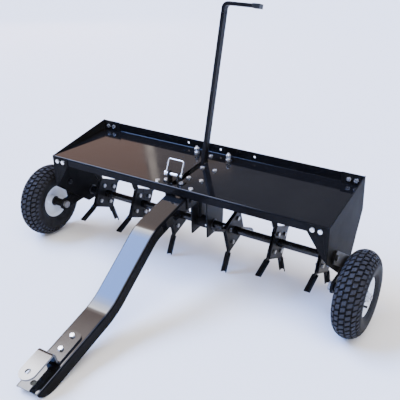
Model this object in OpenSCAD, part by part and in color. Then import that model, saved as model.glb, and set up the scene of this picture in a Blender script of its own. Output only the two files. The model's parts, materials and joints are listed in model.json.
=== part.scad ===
// Tow behind plug aerator: a weight tray on two wheels, with rows of spoon tines
// below it, a pressed tongue with a clevis, and a lever that swings the wheels down.
// The machine is drawn level first and then set down on its wheels and tongue.

/* [Tray] */
// Width over both end panels
overall_w = 1016; // [900:1:1300]
// Thickness of the pressed sheet
sheet_t = 3; // [2:0.5:5]
// Depth of the tray from the front edge to the rear wall
tray_d = 291; // [250:1:350]
// Height of the front edge, turned down
lip_h = 28; // [15:1:50]
// Height of the rear wall above the floor
wall_h = 31.5; // [15:0.5:60]
// Width of the lever slot in the floor
slot_w = 22; // [16:1:30]
// Front end of the lever slot, from the front edge
slot_front = 14; // [8:1:40]
// Rear end of the lever slot, ahead of the rear edge
slot_rear_in = 68; // [60:1:72]
// Diameter of the holes in the rear wall
wall_hole_d = 8; // [4:1:14]
// Spacing of the holes in the rear wall
wall_hole_gap = 130; // [80:1:200]

/* [End panels] */
// Height of the front edge of a panel
panel_front_h = 118; // [80:1:150]
// Depth of a panel below the floor
panel_low = 250; // [220:1:300]
// Width of the lower end of a panel
panel_foot_w = 52; // [40:1:90]
// Height of the rear edge of a panel below the floor
panel_rear_h = 84; // [60:1:140]
// Lean of the rear edge of a panel
panel_rear_lean = 9; // [0:1:20]
// Width of the front gusset at the top
gusset_w = 65; // [50:1:90]
// Width of the front gusset at its lower end
gusset_low_w = 14; // [6:1:30]
// Width of the rear flange
rear_flange_w = 75; // [50:1:100]
// Height of the rear flange above the rear wall
rear_flange_up = 3; // [0:0.5:10]
// Distance of the outer panel bolt from the panel's outside
panel_bolt_in = 25; // [18:1:40]
// Spacing of the two bolts in a flange
panel_bolt_gap = 24; // [18:1:40]
// Distance of the panel bolts from the floor
panel_bolt_z = 15; // [10:1:20]

/* [Tongue] */
// Width of the tongue
tongue_w = 76; // [60:1:100]
// Wall of the tongue
tongue_t = 4; // [3:0.5:6]
// Depth of the tongue's sides
tongue_h = 38; // [30:1:60]
// Gap between the tongue's tail and the hanger plates
tail_gap = 2; // [1:0.5:6]
// Top of the tongue below the floor, at the front edge
tongue_under = 33; // [31:1:60]
// Slope of the neck of the tongue in degrees
neck_slope = 8.5; // [0:0.5:12]
// Slope of the drop in degrees
drop_slope = 31.8; // [20:0.1:45]
// Slope of the nose in degrees
nose_slope = 11.3; // [5:0.1:20]
// First bend ahead of the front edge
neck_reach = 170; // [120:1:250]
// Second bend ahead of the front edge
drop_reach = 385; // [320:1:450]
// Tip of the nose ahead of the front edge
nose_reach = 691; // [600:1:900]
// Radius of the first bend
neck_bend_r = 150; // [80:1:250]
// Radius of the second bend
nose_bend_r = 200; // [80:1:300]
// Radius under the nose, like a ski
ski_r = 60; // [45:1:90]
// Depth of the tongue's sides at the very tip
ski_tip = 7; // [5:0.5:15]

/* [Hitch] */
// Width of the upper hitch strap
strap_w = 50; // [40:1:65]
// Thickness of the upper hitch strap
strap_t = 6; // [4:0.5:10]
// Gap of the clevis
clevis_gap = 40; // [25:1:50]
// Diameter of the hitch hole
hitch_hole_d = 16.5; // [12:0.5:22]
// Hitch hole from the tip
hitch_in = 25; // [25:1:35]
// Step of the strap from the tip
step_in = 98; // [85:1:115]
// First strap bolt from the tip
strap_bolt_in = 135; // [125:1:170]
// Spacing of the strap bolts
strap_bolt_gap = 48; // [40:1:70]
// Strap behind its rear bolt
strap_end = 16; // [12:1:25]
// Corner radius at the rear end of the strap
strap_corner_r = 16; // [8:1:19]

/* [Tongue angles] */
// Width of the upper leg of an angle
angle_w = 47; // [46:1:55]
// Height of the hanging leg of an angle
angle_h = 72; // [60:1:90]
// Thickness of an angle
angle_t = 4; // [3:0.5:6]
// Front end of an angle behind the front edge
angle_front = 5; // [4:1:12]
// Rear end of an angle ahead of the rear edge
angle_rear_in = 25; // [16:1:29]
// Front bolt in the side of the tongue
side_bolt_front = 24; // [18:1:40]
// Rear bolt in the side of the tongue, from its tail
side_bolt_tail = 23; // [15:1:40]

/* [Floor bolts] */
// Left column of floor bolts from the middle
bolt_left = 73; // [70:1:75]
// Right column of floor bolts from the middle
bolt_right = 51; // [51:1:64]
// Inner bolts right of the middle
bolt_inner = 4.5; // [4:0.5:8]
// First row of floor bolts behind the front edge
row_1 = 12; // [11:1:20]
// Second row of floor bolts
row_2 = 75; // [70:1:90]
// Third row of floor bolts, ahead of the rear edge
row_3_in = 131; // [121:1:141]
// Fourth row of floor bolts, with the studs, ahead of the rear edge
row_4_in = 40; // [36:1:46]
// Height of the rear studs above the floor
stud_h = 28; // [20:1:40]
// Height of the upper nut on a stud
stud_nut_up = 14; // [10:1:18]
// Diameter of a stud
stud_d = 10; // [8:1:12]
// Width across the flats of a stud nut
stud_af = 16; // [13:1:19]
// Thickness of a stud nut
stud_nut_t = 8; // [6:0.5:10]

/* [Bolts] */
// Diameter of the common bolts
bolt_d = 8; // [6:1:10]
// Width across the flats of the common bolts
bolt_af = 13; // [10:1:13]
// Height of the bolt heads
bolt_head_h = 5.5; // [4:0.5:7]
// Thickness of the nuts
nut_t = 6.5; // [5:0.5:8]
// Thread that stands out of the nuts
bolt_tail = 2.5; // [1:0.5:4]

/* [Centre hanger] */
// Width over the hanger plates
hanger_w = 66; // [60:1:70]
// Thickness of the hanger
hanger_t = 5; // [4:0.5:8]
// Front end of the hanger's top
hanger_top_front = 60; // [50:1:65]
// Rear end of the hanger, ahead of the rear edge
hanger_rear_in = 29; // [23:1:30]
// Front edge of the hanger plates ahead of the reel axis
hanger_ahead = 41; // [33:1:44]
// Rear edge of the hanger plates behind the reel axis, at the bottom
hanger_behind = 64; // [52:1:80]
// Depth of the hanger plates below the floor
hanger_low = 248; // [240:1:260]

/* [Tine reel] */
// Reel axis ahead of the rear edge
axle_in = 113; // [100:1:122]
// Reel axis below the floor
axle_low = 213; // [200:1:225]
// Diameter of the lift shaft through the stars
shaft_d = 19; // [16:0.5:22]
// Outside diameter of the spacer tubes
spacer_d = 27; // [24:0.5:35]
// First star from the middle
star_first = 111; // [100:1:125]
// Outer stars from the inside of the end panels
star_edge = 65; // [40:0.5:90]
// Side of the square star plates
star_side = 108; // [90:1:120]
// Radius over the corners of the star plates
star_corner_r = 73; // [60:0.5:80]
// Thickness of a star plate
star_t = 4; // [3:0.5:6]
// Radius of the star bolts
star_bolt_r = 41; // [36:0.5:48]
// Radius over the tine tips
tip_r = 150; // [130:1:155]
// Width of a tine
tine_w = 21; // [16:0.5:25]
// Thickness of a tine's tang
tang_t = 5; // [4:0.5:8]
// Inner end of a tine
tine_in = 24; // [20:1:30]
// Start of the hollow spoon
spoon_in = 80; // [76:1:95]
// Wall of the spoon
spoon_t = 3; // [2:0.5:5]
// Turn of the outer stars in degrees
star_turn = 18; // [0:1:90]
// Turn of the stars next to the middle, further round
inner_turn = 43; // [0:1:90]

/* [Bushes] */
// Outside diameter of the shaft bushes
bush_d = 26; // [24:0.5:32]
// Flange diameter of the shaft bushes
bush_flange_d = 38; // [30:1:44]
// Flange thickness of the shaft bushes
bush_flange_t = 2.5; // [1.5:0.5:4]
// Running clearance on each side of a shaft
run_gap = 0.05; // [0.02:0.01:0.1]
// Clearance on each side of a bolt
bolt_gap = 0.25; // [0.1:0.05:0.5]
// End clearance between turning pieces
end_gap = 0.5; // [0.4:0.1:1]

/* [Bearing straps] */
// Upper bolt of a bearing strap behind the front edge
brace_y = 62; // [50:1:80]
// Upper bolt of a bearing strap below the floor
brace_low = 130; // [110:1:150]
// Width of a bearing strap
brace_w = 42; // [36:1:50]
// Thickness of a bearing strap
brace_t = 6; // [4:0.5:8]
// Width across the flats of the strap bolts
brace_af = 17; // [13:1:19]
// Diameter of the strap bolts
brace_bolt_d = 10; // [8:1:12]

/* [Wheel arms] */
// Length of a wheel arm
arm_len = 141; // [135:1:160]
// Direction of a wheel arm in degrees
arm_turn = 180; // [170:1:190]
// Width of a wheel arm
arm_w = 42; // [36:1:50]
// Thickness of a wheel arm
arm_t = 8; // [6:0.5:12]
// Gap between a bearing strap and a wheel arm
arm_gap = 2; // [1:0.5:4]
// Thickness of the shaft washers
washer_t = 2.5; // [2:0.5:4]
// Diameter of the shaft washers
shaft_washer_d = 34; // [28:1:40]
// Width across the flats of the shaft nuts
shaft_nut_af = 28; // [24:1:32]
// Thickness of the shaft nuts
shaft_nut_t = 9; // [8:0.5:14]

/* [Wheels] */
// Middle of a wheel outside the end panel
wheel_out = 84.7; // [80:0.1:95]
// Diameter of a tyre
tyre_d = 265; // [250:1:280]
// Width of a tyre
tyre_w = 87; // [80:1:95]
// Wall of a tyre under its tread
tyre_wall = 4; // [3:0.5:6]
// Height of the tread blocks
tread_h = 5.5; // [4:0.5:7]
// Tread blocks in each row round a tyre
tread_count = 42; // [32:1:44]
// Length of a tread block round the tyre
block_len = 13; // [12:0.5:17]
// Width of a tread block across the tyre
block_w = 14; // [11:0.5:14.5]
// Slant of the tread blocks
block_slant = 20; // [0:1:30]
// Angle between the tread rows over the crown
tread_turn = 23; // [22:0.5:24]
// Diameter of the bead seat of a rim
bead_d = 101.6; // [95:0.1:110]
// Diameter of the rim flanges
rim_d = 121; // [112:1:128]
// Width of a rim over its flanges
rim_w = 62; // [55:1:68]
// Thickness of the rim sheet
rim_t = 3; // [2:0.5:4]
// Distance of the rim's disc from the middle
disc_out = 9; // [0:1:18]
// Outside diameter of the hub tube
hub_d = 36; // [32:1:42]
// Length of the hub tube
hub_len = 50; // [46:1:56]
// Diameter of the wheel spindle
spindle_d = 16; // [14:0.5:18]
// Outside diameter of the hub bushes
hub_bush_d = 26; // [22:0.5:28]
// Length of a hub bush inside the hub
hub_bush_len = 18; // [14:1:22]
// Flange thickness of a hub bush
hub_flange_t = 2; // [1.5:0.5:3]
// Diameter of the tube between arm and wheel
hub_spacer_d = 28; // [24:1:34]
// Width across the flats of the spindle head
spindle_af = 24; // [22:1:27]
// Height of the spindle head
spindle_head_t = 10; // [8:0.5:12]
// Thickness of the spindle nut
spindle_nut_t = 10; // [8:0.5:14]
// Radius at which the valve stands
valve_r = 36; // [30:0.5:40]
// Diameter of the valve foot
valve_foot_d = 12; // [10:0.5:14]
// Height of the valve foot
valve_foot_h = 5; // [3:0.5:8]
// Diameter of the valve stem
valve_d = 7.5; // [6:0.5:9]
// Height of the valve stem
valve_h = 24; // [18:1:30]

/* [Lift lever] */
// Width of the lever bar
lever_w = 25; // [20:1:30]
// Thickness of the lever bar
lever_t = 12; // [10:1:14]
// Middle of the lever beside the middle of the machine
lever_x = -17; // [-17:1:-12]
// Knee of the lever ahead of the rear edge, at floor height
knee_in = 86; // [84:1:96]
// Length of the lever above the floor
lever_len = 521; // [450:1:600]
// Lean of the lever in degrees
lever_lean = 17.1; // [12:0.1:22]
// Inside radius of the bend at the top
grip_bend_r = 9; // [6:1:16]
// Reach of the grip to the side
grip_reach = 125; // [100:1:140]
// Length of the grip's root inside the lever bar
grip_root = 30; // [20:1:40]
// Step all round where the grip leaves the lever bar
grip_step = 0.1; // [0.05:0.05:0.5]
// Length of the grip cap
cap_len = 26; // [18:1:40]
// Wall of the grip cap
cap_t = 1.5; // [1:0.5:3]
// Diameter of the lever hub
lever_hub_d = 44; // [38:1:50]
// Length of the lever hub
lever_hub_len = 48; // [46:1:52]
// Diameter of the pin in the lever hub
lever_pin_d = 6; // [5:0.5:8]
// Distance of that pin from the middle
lever_pin_x = 14; // [6:0.5:16]

/* [Lock pin] */
// Middle of the latch beside the middle of the machine
latch_x = -22; // [-26:1:-22]
// Lock pin behind the front edge
latch_y = 33; // [30:1:36]
// Lock pin above the floor
latch_z = 25; // [20:1:30]
// Gap between the latch ears
latch_gap = 32; // [30:1:40]
// Thickness of a latch ear
ear_t = 4; // [3:0.5:5]
// Width of a latch ear
ear_w = 24; // [20:1:28]
// Length of the foot of a latch ear
ear_foot = 20; // [18:0.5:22]
// Thickness of the foot of a latch ear
ear_foot_t = 3; // [2:0.5:4]
// Bolt of a latch ear from the ear's outside
ear_bolt_in = 7.3; // [7:0.1:9]
// Diameter of the lock pin
lock_d = 10; // [8:0.5:12]
// Length of the lock pin under its head
lock_len = 56; // [50:1:64]
// Diameter of the head of the lock pin
lock_head_d = 16; // [13:0.5:20]
// Length of the head of the lock pin
lock_head_len = 6; // [5:0.5:8]
// Diameter of the bail wire
wire_d = 4; // [3:0.5:5]
// Length of the bail's legs
bail_h = 47; // [40:1:60]
// Radius of the bail's corners
bail_r = 6; // [4:0.5:10]
// Lean of the bail in degrees
bail_lean = 25; // [0:1:40]
// Right leg of the bail from the end of the pin
bail_in = 3.5; // [3:0.5:4]

/* [Hidden] */
// Smoothness of the round faces
$fn = 64;
// Overrun of every cut
cut = 1;
// Steps in a bend
steps = 8;
// Half of the overall width
half_w = overall_w / 2;
// Inside face of the end panels
inside_x = half_w - sheet_t;
// Places along the tray, behind the front edge
axle_y = tray_d - axle_in;
slot_rear = tray_d - slot_rear_in;
knee_y = tray_d - knee_in;
row_3 = tray_d - row_3_in;
row_4 = tray_d - row_4_in;
angle_rear = tray_d - angle_rear_in;
hanger_rear = tray_d - hanger_rear_in;
hanger_front = axle_y - hanger_ahead;
hanger_foot_rear = axle_y + hanger_behind;
tongue_tail = hanger_front - tail_gap;
side_bolt_rear = tongue_tail - side_bolt_tail;
// Spacing of the stars
star_gap = (inside_x - star_edge - star_first) / 2;
// Half of a square corner
corner = 45;
// Quarter turn
quarter = 90;
// Half of a hexagon's corner angle
hex_turn = 30;
// Sides of a hexagon
hex_n = 6;
// Star directions
star_arms = [0, 1, 2, 3];
// Stars on one side
star_rank = [0, 1, 2];

// Forward direction and downward normal of a slope in the side view
function ahead(a) = [-cos(a), -sin(a)];
function under(a) = [sin(a), -cos(a)];

// Points of one bend of the tongue, at a depth below its top face
function bend_points(v, a, b, r, depth) =
    let (way = (b > a) ? 1 : -1)
    let (start = v - ahead(a) * r * tan(abs(b - a) / 2))
    [for (i = [0:steps])
        let (t = a + (b - a) * i / steps)
        start + way * r * (under(a) - under(t)) + depth * under(t)];

// Corner points of the tongue's top face in the side view
tail_pt = [tongue_tail, -tongue_under + tongue_tail * tan(neck_slope)];
neck_pt = [-neck_reach, -tongue_under - neck_reach * tan(neck_slope)];
drop_pt = [-drop_reach, neck_pt[1] - (drop_reach - neck_reach) * tan(drop_slope)];
nose_pt = [-nose_reach, drop_pt[1] - (nose_reach - drop_reach) * tan(nose_slope)];

// Tongue line at a depth, from the tail to the second bend
function tongue_line(depth) = concat(
    [tail_pt + depth * under(neck_slope)],
    bend_points(neck_pt, neck_slope, drop_slope, neck_bend_r, depth),
    bend_points(drop_pt, drop_slope, nose_slope, nose_bend_r, depth));

// Rounded underside of the nose
ski_rise = ski_r - tongue_h + ski_tip;
ski_run = sqrt(ski_r * ski_r - ski_rise * ski_rise);
ski_c = nose_pt - ski_run * ahead(nose_slope) + (tongue_h - ski_r) * under(nose_slope);
ski_sweep = acos(ski_rise / ski_r);
ski_pts = [for (i = [0:steps])
    let (t = ski_sweep * i / steps)
    ski_c + ski_r * (cos(t) * under(nose_slope) + sin(t) * ahead(nose_slope))];

// Side view of the tongue, and of the space inside it
function reversed(list) = [for (i = [len(list) - 1:-1:0]) list[i]];
tongue_side = concat(tongue_line(0), [nose_pt], reversed(concat(tongue_line(tongue_h), ski_pts)));
tail_over = -cut * ahead(neck_slope);
nose_over = cut * ahead(nose_slope);
tongue_space = concat(
    [tail_pt + tongue_t * under(neck_slope) + tail_over],
    tongue_line(tongue_t),
    [nose_pt + tongue_t * under(nose_slope) + nose_over],
    [nose_pt + (tongue_h + cut) * under(nose_slope) + nose_over],
    reversed(tongue_line(tongue_h + cut)),
    [tail_pt + (tongue_h + cut) * under(neck_slope) + tail_over]);

// Wheel centre, seen from the side
axle_z = -axle_low;
wheel_y = axle_y + arm_len * cos(arm_turn);
wheel_z = axle_z + arm_len * sin(arm_turn);
wheel_x = half_w + wheel_out;

// Pitch at which the wheels and the nose both touch the ground
lean_y = wheel_y - ski_c[0];
lean_z = wheel_z - ski_c[1];
lean_len = sqrt(lean_y * lean_y + lean_z * lean_z);
tyre_mid = (tyre_d - tyre_w) / 2;
carcass_r = tyre_w / 2 - tread_h;
block_lean = tan(block_slant);
block_half = (block_len + block_w * block_lean) / 2;
block_top = sqrt(pow(tyre_d / 2, 2) - pow(block_half, 2)) - tyre_mid;
tread_rows = [-2, -1, 0, 1, 2];
tread_edge = (max(tread_rows) + 0.5) * tread_turn;
tread_pitch = 360 / tread_count;
tread_slip = atan2(tyre_w / 2 * sin(tread_turn) * block_lean, tyre_d / 2);
rest_pitch = asin((tyre_d / 2 - ski_r) / lean_len) - atan2(lean_z, lean_y);
function rest_y(p) = p[0] * cos(rest_pitch) - p[1] * sin(rest_pitch);
function rest_z(p) = p[0] * sin(rest_pitch) + p[1] * cos(rest_pitch);

// Foremost and rearmost points, to set the origin below the middle
ear_top = clevis_gap + strap_t;
front_pt = nose_pt - ear_top * under(nose_slope);
rear_pt = [tray_d + panel_rear_lean, -panel_rear_h];
tip_turn = star_turn + inner_turn - quarter + rest_pitch;
tine_reach = (tip_r - tine_w / 2) * cos(tip_turn) + tine_w / 2;
rear_y = rest_y([axle_y, axle_z]) + tine_reach;
shift_y = -(rest_y(front_pt) + rear_y) / 2;
shift_z = tyre_d / 2 - rest_z([wheel_y, wheel_z]);

// Across the machine, from the end panel outwards
brace_x = half_w + brace_t;
arm_x = brace_x + arm_gap;
arm_out = arm_x + arm_t;
shaft_end = arm_out + washer_t + shaft_nut_t + bolt_tail;
hub_in_x = wheel_x - hub_len / 2 - hub_flange_t;
hub_out_x = wheel_x + hub_len / 2 + hub_flange_t;
hub_spacer_end = hub_in_x - end_gap;
spindle_washer_x = hub_out_x + end_gap;
spindle_nut_x = spindle_washer_x + washer_t;
spindle_end = spindle_nut_x + spindle_nut_t + bolt_tail;

// Along the reel
hanger_x = hanger_w / 2;
star_half = tang_t / 2 + star_t;
reel_in = hanger_x + bush_flange_t + end_gap;
reel_out = inside_x - bush_flange_t - end_gap;

// Panel bolt places from the middle
panel_bolts_x = [half_w - panel_bolt_in, half_w - panel_bolt_in - panel_bolt_gap];

// Floor bolt places
left_spots = [[-bolt_left, row_1]];
right_spots = [[bolt_right, row_1], [bolt_right, row_2], [bolt_right, row_3]];
angle_spots = concat(left_spots, right_spots);
hanger_spots = [[bolt_inner, row_2], [bolt_inner, row_3], [lever_x, row_4]];
stud_spots = [[-bolt_left, row_4], [bolt_right, row_4]];
ear_in = latch_gap / 2;
ear_out = ear_in + ear_t;
latch_bolt_x = ear_out + ear_bolt_in;
latch_bolt_y = latch_y - ear_w / 4;
latch_spots = [[latch_x - latch_bolt_x, latch_bolt_y], [latch_x + latch_bolt_x, latch_bolt_y]];
// Metal below the floor at the two latch bolts: the left one goes through the left angle
latch_under = [angle_t, 0];

// Tongue side bolt places
side_spots = [for (y = [side_bolt_front, side_bolt_rear])
    [y, -tongue_under + y * tan(neck_slope) - tongue_h / 2]];
strap_spots = [strap_bolt_in, strap_bolt_in + strap_bolt_gap];

// Lower lever bar, from the shaft to the knee
crank_y = knee_y - axle_y;
crank_lean = atan2(crank_y, axle_low);
lever_straight = lever_len - grip_bend_r - lever_t;
knee_turn = (lever_lean - crank_lean) / 2;
knee_half = lever_w / 2 / cos(knee_turn);
function behind(a) = [cos(a), -sin(a)];
axle_pt = [axle_y, axle_z];
knee_pt = [knee_y, 0];
grip_w = lever_w - 2 * grip_step;
grip_t = lever_t - 2 * grip_step;
top_pt = knee_pt + (lever_straight - grip_root / 2) * [sin(lever_lean), cos(lever_lean)];
lever_side = [
    axle_pt - lever_w / 2 * behind(crank_lean),
    axle_pt + lever_w / 2 * behind(crank_lean),
    knee_pt + knee_half * behind(crank_lean + knee_turn),
    top_pt + lever_w / 2 * behind(lever_lean),
    top_pt - lever_w / 2 * behind(lever_lean),
    knee_pt - knee_half * behind(crank_lean + knee_turn)];

// Lock pin along its length
lock_in = latch_x - lock_len / 2;
bail_left = lock_in - lock_head_len / 2;
bail_right = latch_x + lock_len / 2 - bail_in;

// Sub-part to draw, or all

tray();
end_panel_left();
end_panel_right();
panel_bolts();
panel_nuts();
tongue();
tongue_angle_left();
tongue_angle_right();
tongue_bolts();
tongue_nuts();
hitch_strap();
hitch_bolts();
hitch_nuts();
floor_bolts();
floor_nuts();
rear_studs();
stud_nuts();
centre_hanger();
hanger_bushes();
panel_bushes();
bearing_strap_left();
bearing_strap_right();
strap_bolts();
strap_nuts();
latch_ears();
lock_pin();
lock_bail();
lift_shaft();
lift_lever();
lever_pin();
grip_cap();
wheel_arm_left();
wheel_arm_right();
shaft_washers();
shaft_nuts();
wheel_spindles();
hub_spacers();
spindle_washers();
spindle_nuts();
tyre_left();
rim_left();
hub_bushes_left();
valve_left();
tyre_right();
rim_right();
hub_bushes_right();
valve_right();
star_plates_left();
tines_left();
reel_spacers_left();
star_bolts_left();
star_nuts_left();
star_plates_right();
tines_right();
reel_spacers_right();
star_bolts_right();
star_nuts_right();

// Sets the level machine down on its wheels and tongue
module stand() {
    translate([0, shift_y, shift_z])
        rotate([rest_pitch, 0, 0])
            children();
}

// Side view drawn in depth and height, carried across the machine
module across(from_x, length) {
    translate([from_x, 0, 0])
        rotate([quarter, 0, quarter])
            linear_extrude(length)
                children();
}

// Round bar across the machine, between two places
module bar_x(from_x, to_x, d) {
    translate([from_x, 0, 0])
        rotate([0, quarter, 0])
            cylinder(d = d, h = to_x - from_x);
}

// Tube across the machine
module tube_x(from_x, to_x, d, bore) {
    difference() {
        bar_x(from_x, to_x, d);
        bar_x(from_x - cut, to_x + cut, bore);
    }
}

// Hexagon that stands up from the ground plane
module hexagon(af, h) {
    rotate([0, 0, hex_turn])
        cylinder(d = af / cos(hex_turn), h = h, $fn = hex_n);
}

// Bolt with its head up and its shank hanging
module bolt(d, af, head, length) {
    hexagon(af, head);
    translate([0, 0, -length])
        cylinder(d = d, h = length + head);
}

// Nut that hangs below a level
module nut(d, af, h) {
    difference() {
        translate([0, 0, -h])
            hexagon(af, h);
        translate([0, 0, -h - cut])
            cylinder(d = d, h = h + 2 * cut);
    }
}

// Bolt hole down through a sheet
module hole(d, above, below) {
    translate([0, 0, -below])
        cylinder(d = d + 2 * bolt_gap, h = above + below);
}

// Slot for the lever, down through a sheet
module lever_slot(from_y, to_y, top, low) {
    translate([lever_x - slot_w / 2, from_y + slot_w / 2, low])
        cube([slot_w, to_y - from_y - slot_w, top - low]);
    for (y = [from_y + slot_w / 2, to_y - slot_w / 2])
        translate([lever_x, y, low])
            cylinder(d = slot_w, h = top - low);
}

module tray() {
    color("dimgray") stand() difference() {
        union() {
            translate([-inside_x, 0, -sheet_t])
                cube([2 * inside_x, tray_d, sheet_t]);
            translate([-inside_x, 0, -lip_h])
                cube([2 * inside_x, sheet_t, lip_h]);
            translate([-inside_x, tray_d - sheet_t, -sheet_t])
                cube([2 * inside_x, sheet_t, wall_h + sheet_t]);
        }
        lever_slot(slot_front, slot_rear, cut, -sheet_t - cut);
        for (p = concat(angle_spots, hanger_spots, latch_spots))
            translate([p[0], p[1], 0])
                hole(bolt_d, cut, sheet_t + cut);
        for (p = stud_spots)
            translate([p[0], p[1], 0])
                hole(stud_d, cut, sheet_t + cut);
        for (side = [-1, 1], x = panel_bolts_x) {
            translate([side * x, 0, -panel_bolt_z])
                rotate([quarter, 0, 0])
                    hole(bolt_d, cut, sheet_t + cut);
            translate([side * x, tray_d, panel_bolt_z])
                rotate([quarter, 0, 0])
                    hole(bolt_d, sheet_t + cut, cut);
        }
        for (i = [-1, 0, 1])
            translate([i * wall_hole_gap, tray_d + cut, wall_h / 2])
                rotate([quarter, 0, 0])
                    cylinder(d = wall_hole_d, h = sheet_t + 2 * cut);
    }
}

// Right end panel on the level machine
module end_panel() {
    top_y = tray_d - sheet_t;
    top_z = wall_h + rear_flange_up;
    difference() {
        union() {
            across(inside_x, sheet_t)
                polygon([
                    [-sheet_t, 0],
                    [-sheet_t, -panel_front_h],
                    [axle_y - panel_foot_w / 2, -panel_low],
                    [axle_y + panel_foot_w / 2, -panel_low],
                    rear_pt,
                    [tray_d, top_z],
                    [top_y, top_z]]);
            translate([0, 0, 0])
                rotate([quarter, 0, 0])
                    linear_extrude(sheet_t)
                        polygon([
                            [half_w - gusset_w, 0],
                            [half_w, 0],
                            [half_w, -panel_front_h],
                            [half_w - gusset_low_w, -panel_front_h + gusset_low_w],
                            [half_w - gusset_w, -lip_h]]);
            translate([half_w - rear_flange_w, top_y - sheet_t, 0])
                cube([rear_flange_w, sheet_t, top_z]);
        }
        for (x = panel_bolts_x) {
            translate([x, 0, -panel_bolt_z])
                rotate([quarter, 0, 0])
                    hole(bolt_d, sheet_t + cut, cut);
            translate([x, top_y, panel_bolt_z])
                rotate([quarter, 0, 0])
                    hole(bolt_d, sheet_t + cut, cut);
        }
        translate([0, axle_y, axle_z])
            bar_x(inside_x - cut, half_w + cut, bush_d);
        translate([0, brace_y, -brace_low])
            bar_x(inside_x - cut, half_w + cut, brace_bolt_d + 2 * bolt_gap);
    }
}

module end_panel_left() {
    color("dimgray") stand() mirror([1, 0, 0]) end_panel();
}

module end_panel_right() {
    color("dimgray") stand() end_panel();
}

module panel_bolts() {
    color("silver") stand() for (side = [-1, 1], x = panel_bolts_x) {
        translate([side * x, -sheet_t, -panel_bolt_z])
            rotate([quarter, 0, 0])
                bolt(bolt_d, bolt_af, bolt_head_h, 2 * sheet_t + nut_t + bolt_tail);
        translate([side * x, tray_d - 2 * sheet_t, panel_bolt_z])
            rotate([quarter, 0, 0])
                bolt(bolt_d, bolt_af, bolt_head_h, 2 * sheet_t + nut_t + bolt_tail);
    }
}

module panel_nuts() {
    color("silver") stand() for (side = [-1, 1], x = panel_bolts_x) {
        translate([side * x, sheet_t, -panel_bolt_z])
            rotate([quarter, 0, 0])
                nut(bolt_d, bolt_af, nut_t);
        translate([side * x, tray_d, panel_bolt_z])
            rotate([quarter, 0, 0])
                nut(bolt_d, bolt_af, nut_t);
    }
}

// Frame of the nose: zero at the tip on the top face, depth runs back along it
module on_nose() {
    translate([0, nose_pt[0], nose_pt[1]])
        rotate([nose_slope, 0, 0])
            children();
}

module tongue() {
    side_x = tongue_w / 2;
    color("dimgray") stand() difference() {
        across(-side_x, tongue_w)
            polygon(tongue_side);
        across(-side_x + tongue_t, tongue_w - 2 * tongue_t)
            polygon(tongue_space);
        translate([lever_x - slot_w / 2, side_bolt_front, -tongue_under - tongue_h])
            cube([slot_w, tongue_tail, tongue_under + tongue_h]);
        on_nose() {
            translate([0, hitch_in, -tongue_h])
                cylinder(d = hitch_hole_d, h = tongue_h + cut);
            for (y = strap_spots)
                translate([0, y, 0])
                    hole(bolt_d, cut, tongue_t + cut);
        }
        for (p = side_spots)
            translate([0, p[0], p[1]])
                bar_x(-side_x - cut, side_x + cut, bolt_d + 2 * bolt_gap);
    }
}

// Right tongue angle on the level machine, drilled for its bolts and one stud
module tongue_angle(spots, stud) {
    side_x = tongue_w / 2;
    length = angle_rear - angle_front;
    difference() {
        union() {
            translate([side_x, angle_front, -sheet_t - angle_t])
                cube([angle_w, length, angle_t]);
            translate([side_x, angle_front, -angle_h])
                cube([angle_t, length, angle_h - sheet_t]);
        }
        for (p = spots)
            translate([abs(p[0]), p[1], -sheet_t])
                hole(bolt_d, cut, angle_t + cut);
        translate([abs(stud[0]), stud[1], -sheet_t])
            hole(stud_d, cut, angle_t + cut);
        for (p = side_spots)
            translate([0, p[0], p[1]])
                bar_x(side_x - cut, side_x + angle_t + cut, bolt_d + 2 * bolt_gap);
    }
}

module tongue_angle_left() {
    color("dimgray") stand() mirror([1, 0, 0])
        tongue_angle(concat(left_spots, [latch_spots[0]]), stud_spots[0]);
}

module tongue_angle_right() {
    color("dimgray") stand() tongue_angle(right_spots, stud_spots[1]);
}

module tongue_bolts() {
    length = tongue_t + angle_t + nut_t + bolt_tail;
    color("silver") stand() for (side = [-1, 1], p = side_spots)
        translate([side * (tongue_w / 2 + angle_t), p[0], p[1]])
            rotate([0, side * quarter, 0])
                bolt(bolt_d, bolt_af, bolt_head_h, length);
}

module tongue_nuts() {
    color("silver") stand() for (side = [-1, 1], p = side_spots)
        translate([side * (tongue_w / 2 - tongue_t), p[0], p[1]])
            rotate([0, side * quarter, 0])
                nut(bolt_d, bolt_af, nut_t);
}

module hitch_strap() {
    far = strap_spots[1] + strap_end;
    inner_w = strap_w - 2 * strap_corner_r;
    color("dimgray") stand() on_nose() difference() {
        union() {
            linear_extrude(strap_t) {
                translate([-strap_w / 2, step_in - strap_t])
                    square([strap_w, far - strap_corner_r - step_in + strap_t]);
                translate([-inner_w / 2, step_in])
                    square([inner_w, far - step_in]);
                for (x = [-inner_w / 2, inner_w / 2])
                    translate([x, far - strap_corner_r])
                        circle(r = strap_corner_r);
            }
            translate([-strap_w / 2, step_in - strap_t, 0])
                cube([strap_w, strap_t, clevis_gap + strap_t]);
            translate([0, 0, clevis_gap])
                linear_extrude(strap_t) {
                    translate([-strap_w / 2, hitch_in])
                        square([strap_w, step_in - hitch_in]);
                    translate([0, hitch_in])
                        circle(d = strap_w);
                }
        }
        translate([0, hitch_in, clevis_gap - cut])
            cylinder(d = hitch_hole_d, h = strap_t + 2 * cut);
        for (y = strap_spots)
            translate([0, y, 0])
                hole(bolt_d, strap_t + cut, cut);
    }
}

module hitch_bolts() {
    color("silver") stand() on_nose() for (y = strap_spots)
        translate([0, y, strap_t])
            bolt(bolt_d, bolt_af, bolt_head_h, strap_t + tongue_t + nut_t + bolt_tail);
}

module hitch_nuts() {
    color("silver") stand() on_nose() for (y = strap_spots)
        translate([0, y, -tongue_t])
            nut(bolt_d, bolt_af, nut_t);
}

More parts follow.
